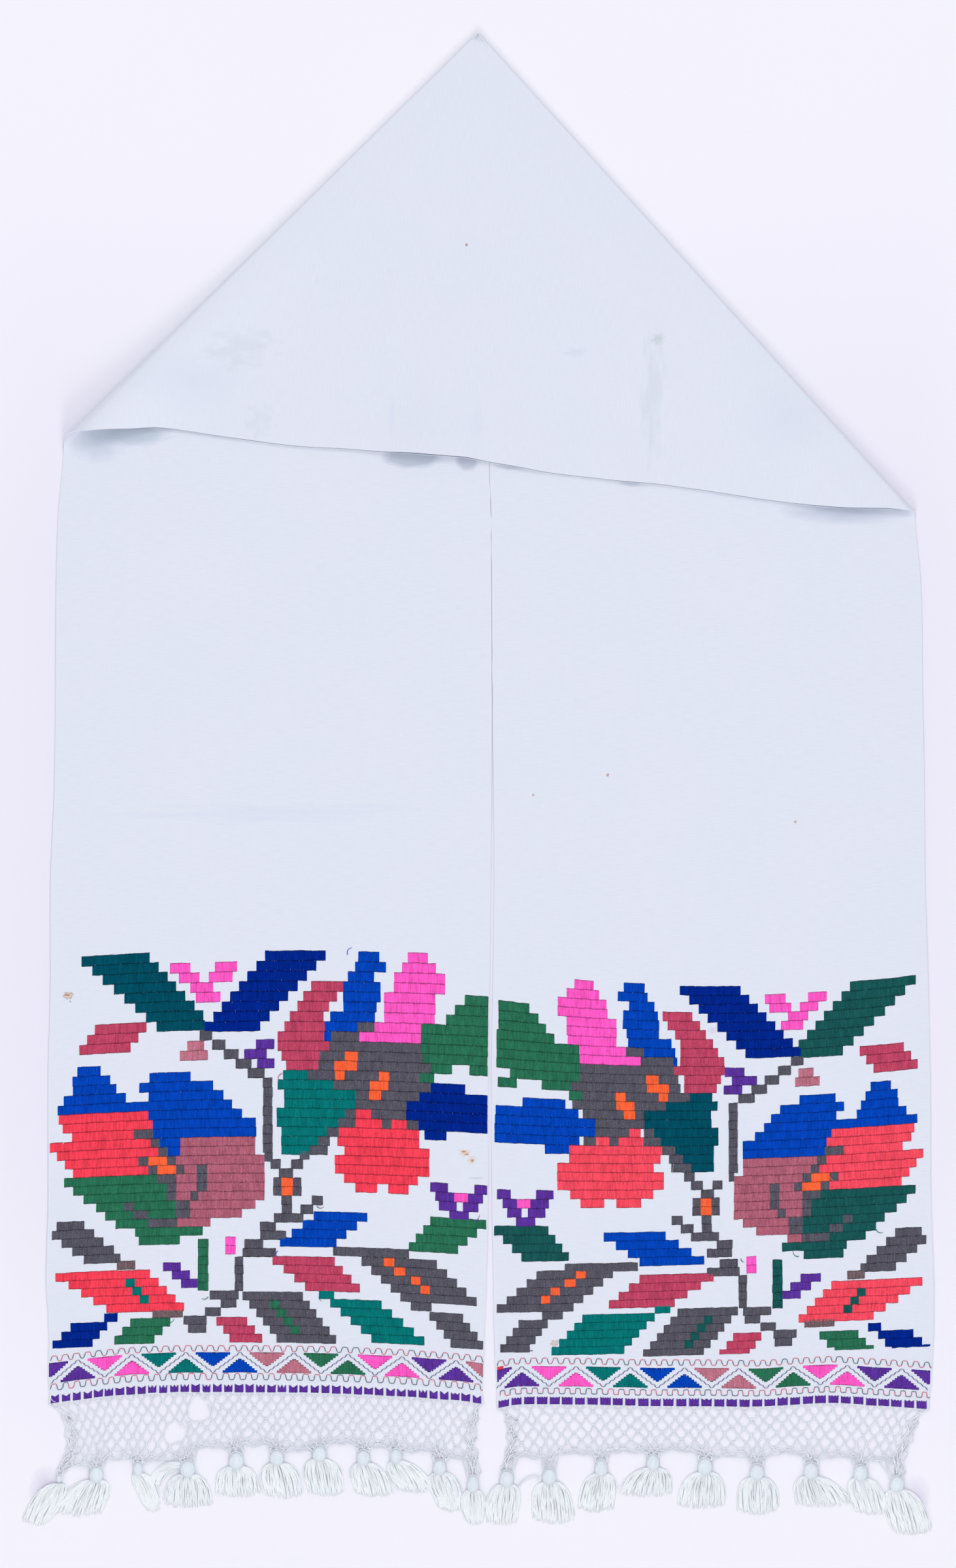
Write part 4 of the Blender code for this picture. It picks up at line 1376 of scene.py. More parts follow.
CHART = {
    "long leaf": leaf(8, 7.3, -0.95, 0.2),
    "navy leaf": leaf(8, 6.5, 1.0, 0.08),
    "vee": counted("0:2.4+5:7.2 0.5:3+4:6.2 2.6:5 1.8:4.4"),
    "small leaf": leaf(3, 5.5, 0.85),
    "two blocks": counted("0.4:2.2 0:3"),
    "stair": leaf(5, 1.3, -1.4, -0.12),
    "post": leaf(9, 1, 0),
    "buds": counted("0:2 0.8:3.2 0:1.8"),
    "small dome": counted("5:7.5 4:8 3.3:8 2.3:9 0:9.6"),
    "big dome": counted(
        "7:11.4 4.6:12.5 3.5:11.5 2.6:11.5 1.5:11.5 0:11.2 0:11 8:10.3 8:10.3 8:9.3"
    ),
    "right dome": counted("4.05:6.4 3.5:7.2 3:7.3 2.45:8.25 0:9.5"),
    "wide bloom": counted("1.5:11 1:10.6 3:9.6 0.7:12 0:11.2 2.2:10.4 0.9:9.5"),
    "tall bloom": counted("1:9 1:9 0:9.4 0:9.4 0:9.4 0:9.4 0:9.4 1:8 2.4:8 5.8:9.4"),
    "vein": counted("0:1.1 0:1.1 0:1.1 0.9:1.8"),
    "low bloom": counted("4.4:15 3.5:14 3.4:12.9 2.6:11.6 2.4:10.6 5.3:9.5 0.2:7.4 2.6:7"),
    "bloom lines": counted(
        "4:6 3.2:4.2 2.4:3.4 4.5:5.5+1.5:2.5 3.5:4.5+0.6:1.5 1.5:3.5 1.5:2.5 1.5:2.5 0:1.5+6:7 "
        "0:1.5+4.5:6 1.4:4.5"
    ),
    "bloom eyes": counted("2.5:4.5 1.5:3.5"),
    "slim petal": counted("0.7:3 0:3.3 1.3:4.1 0.6:4.5 0.6:4.6 1:4.6 1.2:6 3:6.4 5.9:6.6"),
    "broad petal": counted("1.8:4 1:4.6 0:5.4 0:5.5 1:6.5 1:6.5 1.1:6.5 2.5:7.6 2.5:9.2"),
    "side petal": counted("0:3.3 0.6:4.2 1.4:4.8 2:5.6 2:6.2 2:6.9 1.4:6.9 2.4:6.5 2.4:6"),
    "falling petal": counted(
        "5.4:8 2.6:8.6 0:7.9 0.2:7.9 1.4:8.7 2.2:8.7 3.4:8.2 4.3:8.2 5.2:8.2"
    ),
    "half petal": counted("0:2.7 0:3.8 0:4.7 0:7.4 0:7.4 0:7.4 0.3:7.2 4.1:6.2 6:7.5"),
    "half petal's block": counted("0:2"),
    "wide half petal": counted(
        "0.2:3.6 0.2:4.6 0.2:5.5 0:6.4 0:9.1 0:9.1 0:9.1 1.5:9.1 0.1:2.2+5:8.2 8:9.4"
    ),
    "low half petal": counted("2.5:6.3 0.1:7.5 0:9 0:9 0:7.6 4.5:6.9"),
    "bottom petal": counted(
        "6.1:7.9 2.4:4+5:8 1.1:9.8 1.1:9.8 0:9.1 0:10.1 0:10.1 1.2:9.1 2.2:4.4+5.6:7.9"
    ),
    "flower's heart": counted(
        "6:7.8 7.6:10.6 1:10.8 0.9:11.8 0:12 1.2:13.1 0:10.4 1.2:8 2.6:8 2.6:6.4+8:9.1 "
        "1.3:2.6+4.2:5.2+8:9.8 9.8:11 10.8:12 11:12.9"
    ),
    "heart's eyes": counted("7.8:9.2 7.9:10.3 4.4:5.5+9.2:10.2 4.5:6.5 5.3:6.6"),
    "flower foot": leaf(3, 1.3, 0.6, -0.3),
    "sprig": counted(
        "1.4:2.5 2.1:3.4+4.5:5.6 3.2:4.7 2.3:5.3 2.3:5.3 0:1.2+3.3:4.4 1:2.4+3.3:4.4 2.1:5.2 "
        "5:6.7 3.9:6.7"
    ),
    "sprig's stem": counted(
        "6.4:8.4 5:8.6 8.5:9.4 8.5:9.4 8.5:9.4 8.5:9.4 9:12.1 9.2:10.9 10.9:12.6 12.4:14.9 "
        "12.5:14.4"
    ),
    "sprig's eye": counted("3.2:4.4 3.2:4.4"),
    "twig": counted("14.7:18"),
    "dotted leaf": leaf(6, 6.4, -0.72),
    "leaf dots": spots(-0.72, 2.9, 2.9, 2.9, 2.9),
    "short leaf": leaf(4, 5.7, 1.1, -0.1),
    "falling leaf": leaf(4, 6.6, -0.9, 0.25),
    "bar": leaf(1, 8.1, 0),
    "veined leaf": leaf(5, 8.1, -1.05) + counted("0.6:2.8"),
    "vein squares": counted("4.6:5.7 3.4:4.6 1.8:2.8 0.8:1.8"),
    "leaf's foot": leaf(4, 3.6, -0.75),
    "inner leaf": leaf(4, 6, 1.0, 0.25),
    "small vee": counted("0:1.5+4.3:6.2 0.6:2.2+3.7:5.7 1.1:2.7+3.4:5.3 2.1:4.2"),
    "vee's eye": counted("2.2:3.6"),
    "stemmed leaf": counted("5.1:6.7") + leaf(5, 5.5, -1.15, -0.05),
    "long stemmed leaf": counted("8.05:9.75") + leaf(5, 8.03, -0.84),
    "outer leaf": counted("5.6:8.6 4.6:9.1 3.6:8.1 2.5:6.9 1.8:5.7"),
    "leaf stub": leaf(1, 2, 0),
    "long low leaf": leaf(5, 10.1, -0.9, 0.45),
    "squares": spots(-0.75, 1.9, 1.9, 1.9),
    "stub leaf": counted("-1.1:0.3") + leaf(3, 3.9, 0.75, -0.2),
    "low leaf": leaf(3, 4.3, 0.85),
    "low stair": leaf(3, 1.9, -0.95),
    "short post": leaf(6, 1.1, 0),
    "block": leaf(2, 1.1, 0),
    "tiny leaf": leaf(3, 3.3, -0.8, -0.1),
}

# Where each motif is stitched on each panel: its wool, the x of its inner end in millimetres and the
# counted row that it starts at. The right panel's one may be counted wider, or in another wool
PLACES = table(
    "motif wool left_x left_row right_x right_row right_stretch right_wool",
    ("long leaf", "spruce", -301.5, 0.8, 341.1, 1.25, 1, "dark_green"),
    ("navy leaf", "navy", -140.2, 1, 184.8, 1.05, 1.04),
    ("vee", "pink", -221.4, 2, 263.4, 2.1, 0.95),
    ("small leaf", "rose", -304.6, 7.8, 349.8, 8.45, 0.9),
    ("two blocks", "light_mauve", -248.4, 9.9, 291, 10.45, 0.9),
    ("stair", "charcoal", -244.4, 8.85, 287, 9.1, 1.05),
    ("post", "charcoal", -189, 13.85, 229.8, 14.1),
    ("buds", "purple", -187.2, 9.85, 225, 10.1, 1.15),
    ("small dome", "blue", -303.6, 12.1),
    ("right dome", "blue", None, None, 327.6, 12.5, 0.96),
    ("big dome", "blue", -204, 13.1, 242.8, 13.5, 0.9),
    ("wide bloom", "red", -290.4, 17.1, 312, 17.5, 0.97, "coral"),
    ("tall bloom", "mauve", -196.2, 20.1, 234.6, 20.5, 1.02),
    ("vein", "charcoal", -249, 23.1, 267.4, 23.5),
    ("low bloom", "green", -251.4, 24.1, 276.9, 24.5, 1, "dark_green"),
    ("bloom lines", "charcoal", -264.6, 19.1, 285, 19.5),
    ("bloom eyes", "orange", -264.6, 22.1, 285, 22.5),
    ("slim petal", "blue", -84.6, 1.05, 127.8, 0.9),
    ("broad petal", "pink", -30.6, 1.05, 73, 0.9),
    ("side petal", "rose", -124.8, 4.05, 168.9, 3.9),
    ("falling petal", "teal", -110.4, 13.05, 148.3, 12.9, 1, "spruce"),
    ("half petal", "green", 10.8, 5.05),
    ("half petal's block", "green", 9, 12.05),
    ("wide half petal", "green", None, None, 16.8, 3.9),
    ("low half petal", "navy", 9.6, 14.05, 15, 13.9, 1.24, "blue"),
    ("bottom petal", "red", -45, 17.05, 72.6, 16.9, 1.17, "coral"),
    ("flower's heart", "charcoal", -43.8, 8.05, 86, 7.9),
    ("heart's eyes", "orange", -43.8, 11.05, 89.5, 10.9),
    ("flower foot", "charcoal", None, None, 169.8, 18.9),
    ("block", "coral", None, None, 111, 17.9),
    ("block", "charcoal", None, None, 173.6, 8.9, 0.6),
    ("sprig", "charcoal", -142.8, 21.6, 177.6, 21.95),
    ("sprig's stem", "charcoal", -142.8, 31.6, 168.5, 32.25),
    ("sprig's eye", "orange", -142.8, 24.6, 177.6, 24.95),
    ("twig", "brown", -144.9, 39.75, 177.6, 40),
    ("dotted leaf", "charcoal", -161.3, 37.7, 182.7, 38.15, 1.05),
    ("leaf dots", "green", -157.8, 38.7, 182.7, 39.15, 1, "dark_green"),
    ("short leaf", "blue", -102, 28.35, 115.1, 28.75, 1.2),
    ("falling leaf", "rose", -132, 33.5, 147.6, 33.85, 1.25),
    ("bar", "charcoal", -63.6, 32.3, 79.6, 32.3),
    ("veined leaf", "charcoal", -37.8, 33.35, 53.4, 33.1, 1.05),
    ("vein squares", "orange", -37.8, 33.35, 51.3, 33.1),
    ("leaf's foot", "charcoal", -13.8, 39.45, 36.9, 39.15, 0.9),
    ("inner leaf", "green", 7.2, 28.45, 14.7, 27.95, 1, "dark_green"),
    ("small vee", "purple", 9.2, 24.65, 17.4, 24),
    ("vee's eye", "pink", 9.2, 25.65, 17.4, 25),
    ("stemmed leaf", "teal", -88.8, 37.4),
    ("long stemmed leaf", "teal", None, None, 95.2, 37.6),
    ("outer leaf", "charcoal", -313.2, 29.05, 335.9, 29.4),
    ("leaf stub", "brown", -314.6, 33.9, 338.4, 34.2),
    ("long low leaf", "red", -301.2, 35, 324, 35.4, 1, "coral"),
    ("squares", "teal", -299.1, 36, 331.7, 36.4, 1, "dark_green"),
    ("stub leaf", "navy", -340.8, 40.1, 367, 40.85),
    ("low leaf", "green", -282.6, 40.8, 313, 41.65),
    ("low stair", "purple", -273, 34.2, 295.6, 34.35, 1.2),
    ("short post", "green", -247.8, 31.55),
    ("short post", "dark_green", None, None, 270, 32.5),
    ("block", "pink", -222.6, 31.3),
    ("block", "pink", None, None, 246, 32),
    ("tiny leaf", "rose", -211.8, 40.75, 234, 41.45, 0.95),
    defaults=(None, None, 1, None),
)

# Where the tops of the counted rows lie at the selvedges and in the middle, in millimetres
ROW_LINES = table(
    "row left_inner left_middle left_outer right_inner right_middle right_outer",
    (0, -145.4, -141.4, -150.9, -160.8, -174.3, -160.6),
    (11, -247.2, -241.8, -249.7, -257.9, -265.5, -253.5),
    (22, -343.7, -336.9, -343.1, -352.4, -354, -343.8),
    (33, -434.8, -426.6, -431.3, -444.2, -439.9, -431.4),
    (44, -520.9, -512, -515.5, -525.5, -520.8, -513),
)
ROW_TOP = {
    name: sorted((line.row, getattr(line, name) * MM) for line in ROW_LINES)
    for name in ROW_LINES[0]._fields[1:]
}


def row_top(side, x, row):
    """The y of a counted row's top at a place across the panel, on a bow through three points."""
    inner = smooth_through(ROW_TOP[side + "_inner"], row)
    middle = smooth_through(ROW_TOP[side + "_middle"], row)
    outer = smooth_through(ROW_TOP[side + "_outer"], row)
    share = FOLDS[side].share_at(x, middle)
    return (
        inner * (1 - share) * (1 - 2 * share)
        + middle * 4 * share * (1 - share)
        + outer * share * (2 * share - 1)
    )


def joint_y(side, x, row):
    """The y of the joint above a counted row, with the waver that both its neighbours share."""
    return row_top(side, x, row) + BAND_WAVE * uneven(x / BAND_WAVE_LENGTH, row * BAND_WAVE_STEP, 0.0)


def cloth_top(side, x, y):
    return CLOTH_THICKNESS + relief(side, x, y)


Run = namedtuple("Run", "wool x0 x1 row")


def stitch_motif(side, wool, motif, row, x, stretch, chart, dice):
    """Adds a motif's runs to the panel's chart, taking the ground from the wools stitched before."""
    outwards = -INWARDS[side]
    count = COUNT_WIDTH[side] * stretch
    for counts in CHART[motif]:
        inner = FOLDS[side].selvedge_x(0.0, row_top(side, x, row + 0.5)) + outwards * SELVEDGE_CLEARANCE
        for run in counts:
            ends = sorted(x + outwards * c * count + dice.uniform(-1, 1) * RUN_END_UNEVENNESS for c in run)
            ends = [min(e, inner) if side == "left" else max(e, inner) for e in ends]
            clear_ground(chart, ends, row)
            chart.append(Run(wool, ends[0], ends[1], row))
        row += 1


def clear_ground(chart, ends, row):
    """Cuts the runs already in the chart back from a place that another wool takes."""
    for old in list(chart):
        if abs(old.row - row) > HALF_ROW or old.x1 <= ends[0] or old.x0 >= ends[1]:
            continue
        chart.remove(old)
        if old.x0 < ends[0] - STITCH_PITCH:
            chart.append(old._replace(x1=ends[0]))
        if old.x1 > ends[1] + STITCH_PITCH:
            chart.append(old._replace(x0=ends[1]))


def close_slits(chart):
    """Moves the ends of runs that nearly meet in a row to the middle of the slit between them."""
    by_place = sorted(chart, key=lambda run: (run.row, run.x0))
    for i in range(len(by_place) - 1):
        run, following = by_place[i], by_place[i + 1]
        if abs(run.row - following.row) < SAME_ROW and abs(following.x0 - run.x1) < WIDEST_SLIT:
            middle = (run.x1 + following.x0) / 2
            by_place[i] = run._replace(x1=middle)
            by_place[i + 1] = following._replace(x0=middle)
    return by_place


def run_line(side, run):
    """A run as a line along the foot of its row, each point with the reach up to the row's top."""
    x0, x1 = run.x0 + RUN_END_INSET, run.x1 - RUN_END_INSET
    steps = max(1, round((x1 - x0) / RUN_STEP))
    line = []
    for i in range(steps + 1):
        x = mix(x0, x1, i / steps)
        top, foot = joint_y(side, x, run.row), joint_y(side, x, run.row + 1)
        line.append((x, foot, cloth_top(side, x, (top + foot) / 2) - STITCH_SINK, top - foot))
    return line


def embroider():
    """All the runs of the chart on both panels, by wool."""
    dice = random.Random(CHART_SEED)
    runs = {wool.name: [] for wool in WOOLS}
    for side in SIDES:
        chart = []
        for place in PLACES:
            if side == "left":
                wool, x, row, stretch = place.wool, place.left_x, place.left_row, 1.0
            else:
                wool, x, row = place.right_wool or place.wool, place.right_x, place.right_row
                stretch = place.right_stretch
            if row is not None:
                stitch_motif(side, wool, place.motif, row, x * MM, stretch, chart, dice)
        for run in close_slits([run for run in chart if run.x1 - run.x0 > NARROWEST_RUN]):
            runs[run.wool].append(run_line(side, run))
    return runs


# The border above each hem: heights in millimetres above the hem's edge, and where the first
# pointed figure stands, from left to right on both panels
Border = namedtuple(
    "Border",
    "side first_x pitch figures_top figures_foot upper_top upper_foot lower_top lower_foot"
    " blocks_top blocks_foot last_wool",
)
BORDERS = {
    "left": Border("left", -392.4, 24.8, 37.2, 19, 43.6, 38.6, 18, 12.4, 7.9, 1.2, "light_mauve"),
    "right": Border("right", 15, 24.9, 35.6, 17.6, 43.2, 38.2, 15.7, 10.7, 7.6, 1, "purple"),
}

# The running lines of the border: their cells, how far their legs slant, and the threads of their
# legs, tops and feet
MEANDERS = table(
    "side place cells slant legs tops feet",
    ("left", "upper", 39, 0.10, "green_thread", "red_thread", "red_thread"),
    ("left", "lower", 38, 0.06, "green_thread", "red_thread", "green_thread"),
    ("right", "upper", 40, 0.08, "green_thread", "red_thread", "red_thread"),
    ("right", "lower", 40, 0.02, "red_thread", "green_thread", "green_thread"),
)

# The blocks along each hem: how many, how wide the gaps between are in millimetres, how many
# points their tops have and how deep the notches between those are
HEM_BLOCKS = table(
    "side count gap points notch",
    ("left", 40, 2, (2, 2, 2, 3), 0.34),
    ("right", 34, 2, (3, 4, 4, 5), 0.2),
)

# The pointed figures: how many, the wools of their pairs, and the size and steps of each
FIGURES = 17
FIGURE_WOOLS = ("purple", "pink", "teal", "blue", "light_mauve", "green", "pink", "purple")
FIGURE_HALF_WIDTH = 15.4 * MM
FIGURE_HEIGHT = 12.4 * MM
FIGURE_TIP = 1.9 * MM
FIGURE_SHOULDER = 0.35
NARROWEST_STEP = 0.1 * MM
STEP_INSET = 0.01 * MM
RED_PATCH_WIDTH = 5 * MM
RED_PATCH_HEIGHT = 2.2 * MM

# The running lines: where their legs stand in a cell, how their corners bend in from the legs, by
# share of the corner's width and of the line's height, and how often a part is in the other thread
CORNER_WIDTH = 0.1
CORNER_BENDS = (0.0, 0.3, 1.0)
TOP_LEVELS = (0.8, 0.93, 1.0)
FOOT_LEVELS = (0.2, 0.07, 0.0)
LEG_PLACES = (0.27, 0.73)
LEG_STRAY = 0.04
BAR_GIRTH = 0.85
SWAPPED_SHARE = 0.12

# One step of the zigzag line: how far across and up, by the step, and how thick
ZIGZAG_STEP = (
    (-0.5, 0.0, 0.5),
    (-0.24, 0.04, 0.6),
    (-0.12, 0.25, 0.95),
    (0.0, 0.5, 1.05),
    (0.12, 0.75, 0.95),
    (0.24, 0.96, 0.6),
)

# How unevenly the hem's blocks are worked: their gaps and notches by share, their tops and feet in
# millimetres
GAP_SPREAD = (0.8, 1.5)
NOTCH_SPREAD = (0.6, 1.2)
BLOCK_TOP_SPREAD = (-0.5, 0.4)
BLOCK_FOOT_SPREAD = (-0.3, 0.3)


def above_hem(side, x, height):
    """A place on the panel at a height above the hem."""
    fold = FOLDS[side]
    y = smooth_through(HEM[side], 0.5)
    for _ in range(HEM_STEPS):
        y = smooth_through(HEM[side], clamp(fold.share_at(x, y))) + height
    return y


def panel_ends(side, height):
    """The x of both selvedges at a height above the hem, the lower one first."""
    y = smooth_through(HEM[side], 0.5) + height
    return sorted(FOLDS[side].selvedge_x(across, y) for across in (0.0, 1.0))


def on_border(side, x, height, lift, value):
    """A point at a height above the hem, lifted off the cloth, with its reach or its girth."""
    y = above_hem(side, x, height)
    return x, y, cloth_top(side, x, y) + lift, value


def figure_run(side, centre, foot, points_up, low_x, high_x):
    """A stepped triangle of upright stitches on its straight side, cut off where the selvedge is."""
    line = []
    tread = (FIGURE_HALF_WIDTH - FIGURE_TIP) / BORDER_STEPS
    for number in range(-BORDER_STEPS, BORDER_STEPS + 1):
        if number == 0:
            start, end = -FIGURE_TIP, FIGURE_TIP
        else:
            away = FIGURE_TIP + tread * (abs(number) - 1)
            start, end = sorted((math.copysign(away, number), math.copysign(away + tread, number)))
        reach = FIGURE_HEIGHT * (1 - max(0.0, abs(number) - FIGURE_SHOULDER) / (BORDER_STEPS + 0.5))
        if not points_up:
            reach = -reach
        x0, x1 = max(centre + start, low_x), min(centre + end, high_x)
        if x1 - x0 < NARROWEST_STEP:
            continue
        for x in (x0 + STEP_INSET, x1 - STEP_INSET):
            y = above_hem(side, x, foot)
            line.append((x, y, cloth_top(side, x, y + reach / 2) - STITCH_SINK, reach))
    return line


def stitch_border(border, runs):
    """The row of pointed figures, in pairs of one wool, and the red patch at the right panel's seam."""
    low_x, high_x = panel_ends(border.side, border.figures_foot * MM)
    low_x, high_x = low_x + SELVEDGE_CLEARANCE, high_x - SELVEDGE_CLEARANCE
    wools = (*FIGURE_WOOLS, border.last_wool)
    for number in range(FIGURES):
        centre = (border.first_x + border.pitch * number) * MM
        points_up = number % 2 == 1
        height = (border.figures_foot if points_up else border.figures_top) * MM
        line = figure_run(border.side, centre, height, points_up, low_x, high_x)
        if len(line) > 1:
            runs[wools[number // 2]].append(line)
    if border.side == "right":
        height = border.figures_top * MM
        ends = (low_x, low_x + RED_PATCH_WIDTH)
        patch = [on_border(border.side, x, height, -STITCH_SINK, RED_PATCH_HEIGHT) for x in ends]
        runs["red"].append(patch)


def bent_bar(start, end, corner, levels):
    """The (x, level) points of a running line's top or foot, bent towards the legs at both ends."""
    bends = [(bend * corner, level) for bend, level in zip(CORNER_BENDS, levels)]
    falling = [(end - inset, level) for inset, level in reversed(bends)]
    return [(start + inset, level) for inset, level in bends] + falling


def meander_threads(meander, border, lines, dice):
    """A running line that steps up and down: its legs in one thread, its tops and feet in another."""
    side = meander.side
    foot = getattr(border, meander.place + "_foot") * MM
    top = getattr(border, meander.place + "_top") * MM
    low_x, high_x = panel_ends(side, foot)
    cell = (high_x - low_x) / meander.cells
    slant, corner, rise = meander.slant * cell, CORNER_WIDTH * cell, top - foot
    for number in range(meander.cells):
        x = low_x + number * cell
        left, right = (x + cell * (place + dice.uniform(-LEG_STRAY, LEG_STRAY)) for place in LEG_PLACES)
        following = min(x + cell * (1 + LEG_PLACES[0]), high_x)
        over = bent_bar(left, right, corner, TOP_LEVELS)
        under = bent_bar(right + slant, following - slant, corner, FOOT_LEVELS)
        parts = (
            (over, meander.tops, BAR_GIRTH),
            (under, meander.feet, BAR_GIRTH),
            (((left - slant, FOOT_LEVELS[0]), (left, TOP_LEVELS[0])), meander.legs, 1.0),
            (((right, TOP_LEVELS[0]), (right + slant, FOOT_LEVELS[0])), meander.legs, 1.0),
        )
        for shape, thread, girth in parts:
            if dice.random() < SWAPPED_SHARE:
                thread = "green_thread" if thread == "red_thread" else "red_thread"
            line = [on_border(side, px, foot + rise * level, THREAD_SEAT, girth) for px, level in shape]
            lines[thread].append(line)


def zigzag_threads(border, lines):
    """The thin line between the pointed figures, in small steps: thick where it climbs."""
    low_x, high_x = panel_ends(border.side, border.figures_foot * MM)
    foot, top = border.figures_foot * MM, border.figures_top * MM
    step_width = border.pitch / BORDER_STEPS * MM
    step_height = (top - foot) / BORDER_STEPS
    line = []
    for number in range((FIGURES - 1) * BORDER_STEPS):
        x = border.first_x * MM + (number + 0.5) * step_width
        up = (number // BORDER_STEPS) % 2 == 0
        level = number % BORDER_STEPS if up else BORDER_STEPS - number % BORDER_STEPS
        for across, climb, girth in ZIGZAG_STEP:
            step_x = x + across * step_width
            height = foot + step_height * (level + climb if up else level - climb)
            if low_x < step_x < high_x:
                line.append(on_border(border.side, step_x, height, THREAD_SEAT, girth))
    lines["navy_thread"].append(line)


def block_cell(blocks):
    """The lowest x of a hem's row of blocks, and the width of one block with its gap."""
    low_x, high_x = panel_ends(blocks.side, 0.0)
    return low_x, (high_x - low_x) / blocks.count


def hem_blocks(blocks, border, runs, dice):
    """The row of purple blocks along a hem, each with a ragged top."""
    low_x, cell = block_cell(blocks)
    half_gap = blocks.gap / 2 * MM
    for number in range(blocks.count):
        x0 = low_x + number * cell + RUN_END_INSET + half_gap * dice.uniform(*GAP_SPREAD)
        x1 = low_x + (number + 1) * cell - RUN_END_INSET - half_gap * dice.uniform(*GAP_SPREAD)
        points = dice.choice(blocks.points)
        notch = blocks.notch * dice.uniform(*NOTCH_SPREAD)
        top = (border.blocks_top + dice.uniform(*BLOCK_TOP_SPREAD)) * MM
        foot = (border.blocks_foot + dice.uniform(*BLOCK_FOOT_SPREAD)) * MM
        line = []
        steps = 4 * (points - 1)
        for i in range(steps + 1):
            from_notch = 1 - abs(i % 4 - 2) / 2
            reach = (top - foot) * (1 - notch * from_notch)
            line.append(on_border(border.side, mix(x0, x1, i / steps), foot, -STITCH_SINK, reach))
        runs["purple"].append(line)


# The net lace


def side_names(side):
    """The lace's side edges, the one at the lower x first."""
    names = ("outer", "inner") if side == "left" else ("inner", "outer")
    return [f"{side}_{name}" for name in names]


def own_tassels(side):
    return [tassel for tassel in TASSELS if tassel.side == side]


def lower_edge(side, x):
    """The y of the lace's scalloped lower edge."""
    tassels = own_tassels(side)
    for tassel, following in zip(tassels, tassels[1:]):
        start, end = tassel.x * MM, following.x * MM
        if start <= x <= end:
            t = (x - start) / (end - start)
            base = mix(tassel.y + tassel.length / 2, following.y + following.length / 2, t) * MM
            return mix(base, tassel.scallop_y * MM, math.sin(math.pi * t) ** SCALLOP_ROUNDNESS)
    near = tassels[0] if x < tassels[0].x * MM else tassels[-1]
    return (near.y + near.length / 2) * MM


def scallop_tops(side):
    """The tops of the scallops between the tassels, from left to right."""
    tassels = own_tassels(side)
    return [
        ((tassel.x + following.x) / 2 * MM, tassel.scallop_y * MM)
        for tassel, following in zip(tassels, tassels[1:])
    ]


SCALLOP_TOPS = {side: scallop_tops(side) for side in SIDES}


def pushed_from_tears(side, x, y):
    """A place of a net, pushed out of the net's torn places, or None where its cord is gone."""
    for tear in TEARS:
        if tear.side != side:
            continue
        aside, above = (x / MM - tear.x) / tear.half_width, (y / MM - tear.y) / tear.half_height
        ragged = 1 + TEAR_RAGGEDNESS * math.sin(TEAR_POINTS * math.atan2(above, aside) + TEAR_TURN * tear.x)
        away = ragged * math.hypot(aside, above)
        if away < TEAR_GONE:
            return None
        if away < TEAR_REACH:
            push = math.sqrt(away**2 + TEAR_PUSH * bell(away, TEAR_FADE)) / away
            x += (push - 1) * aside * tear.half_width * MM
            y += (push - 1) * above * tear.half_height * MM
    return x, y


def in_lace(side, share, fall):
    """A place of the net, by its share across and its fall: 0 at the hem and 1 at the lower edge."""
    hem_low, hem_high = panel_ends(side, 0.0)
    hem_x = mix(hem_low, hem_high, share)
    hem_y = above_hem(side, hem_x, 0.0)
    y = mix(hem_y, lower_edge(side, hem_x), fall)
    low_side, high_side = side_names(side)
    free = clamp(fall * FREE_BELOW)
    free = free * free * (3 - 2 * free)
    drawn_in = (smooth_through(LACE_SIDE[low_side], y) - hem_low) * (1 - share) ** SIDE_HOLD
    drawn_in += (smooth_through(LACE_SIDE[high_side], y) - hem_high) * share**SIDE_HOLD
    x = hem_x + drawn_in * free

    steady = mix(hem_y, smooth_through(SCALLOP_TOPS[side], x), fall)
    y = mix(steady, mix(hem_y, lower_edge(side, x), fall), max(0.0, fall) ** 3)
    spot = Vector((x, y, 0.0)) / NET_UNEVEN_LENGTH
    x += NET_UNEVENNESS * free * noise.noise(spot)
    y += NET_UNEVENNESS * free * noise.noise(spot + NET_UNEVEN_SHIFT)
    aside = min((tassel.x * MM - x for tassel in own_tassels(side)), key=abs)
    pull = GATHER_SHARE * max(0.0, fall) ** 4 * bell(aside, GATHER_REACH)
    return x + aside * pull, y, GATHER_LIFT * pull


def net_routes(net):
    """The cords of the net: rows of shallow waves, each tied to the next by short knots."""
    routes = []
    steps = net.cells_across * NET_POINTS_PER_CELL
    for row in range(net.rows):
        shift = 0.5 if row % 2 else 0.0
        route = []
        for i in range(steps + 1):
            wave = i / NET_POINTS_PER_CELL
            swing = math.cos(math.tau * (wave + shift))
            hang = 0.5 - 0.5 * swing * (1 - NET_FLATNESS * (swing * swing - 1))
            level = row + NET_SWING * hang + net_slack(wave, row) * hang
            x, y, lift = in_lace(net.side, i / steps, level / net_depth(net))
            z = NET_Z + lift + NET_CROSSING * (0.5 - hang)
            patchy = noise.noise(Vector((x, y, row)) / NET_GIRTH_LENGTH)
            girth = 1.0 + TURN_GIRTH * abs(swing) ** TURN_SHARPNESS + NET_GIRTH_UNEVENNESS * patchy
            place = pushed_from_tears(net.side, x, y)
            if place:
                route.append((*place, z, girth))
            if len(route) > 2 and (not place or i == steps):
                routes.append(route)
            if not place:
                route = []
        if row < net.rows - 1:
            routes += knot_routes(net, row, shift)
    return routes


def net_depth(net):
    """The level of the lowest row's dips, counted in rows."""
    return net.rows - 1 + NET_SWING


def net_slack(wave, row):
    return NET_SLACK * uneven(wave * NET_SLACK_ALONG, row * NET_SLACK_DOWN, 1.0)


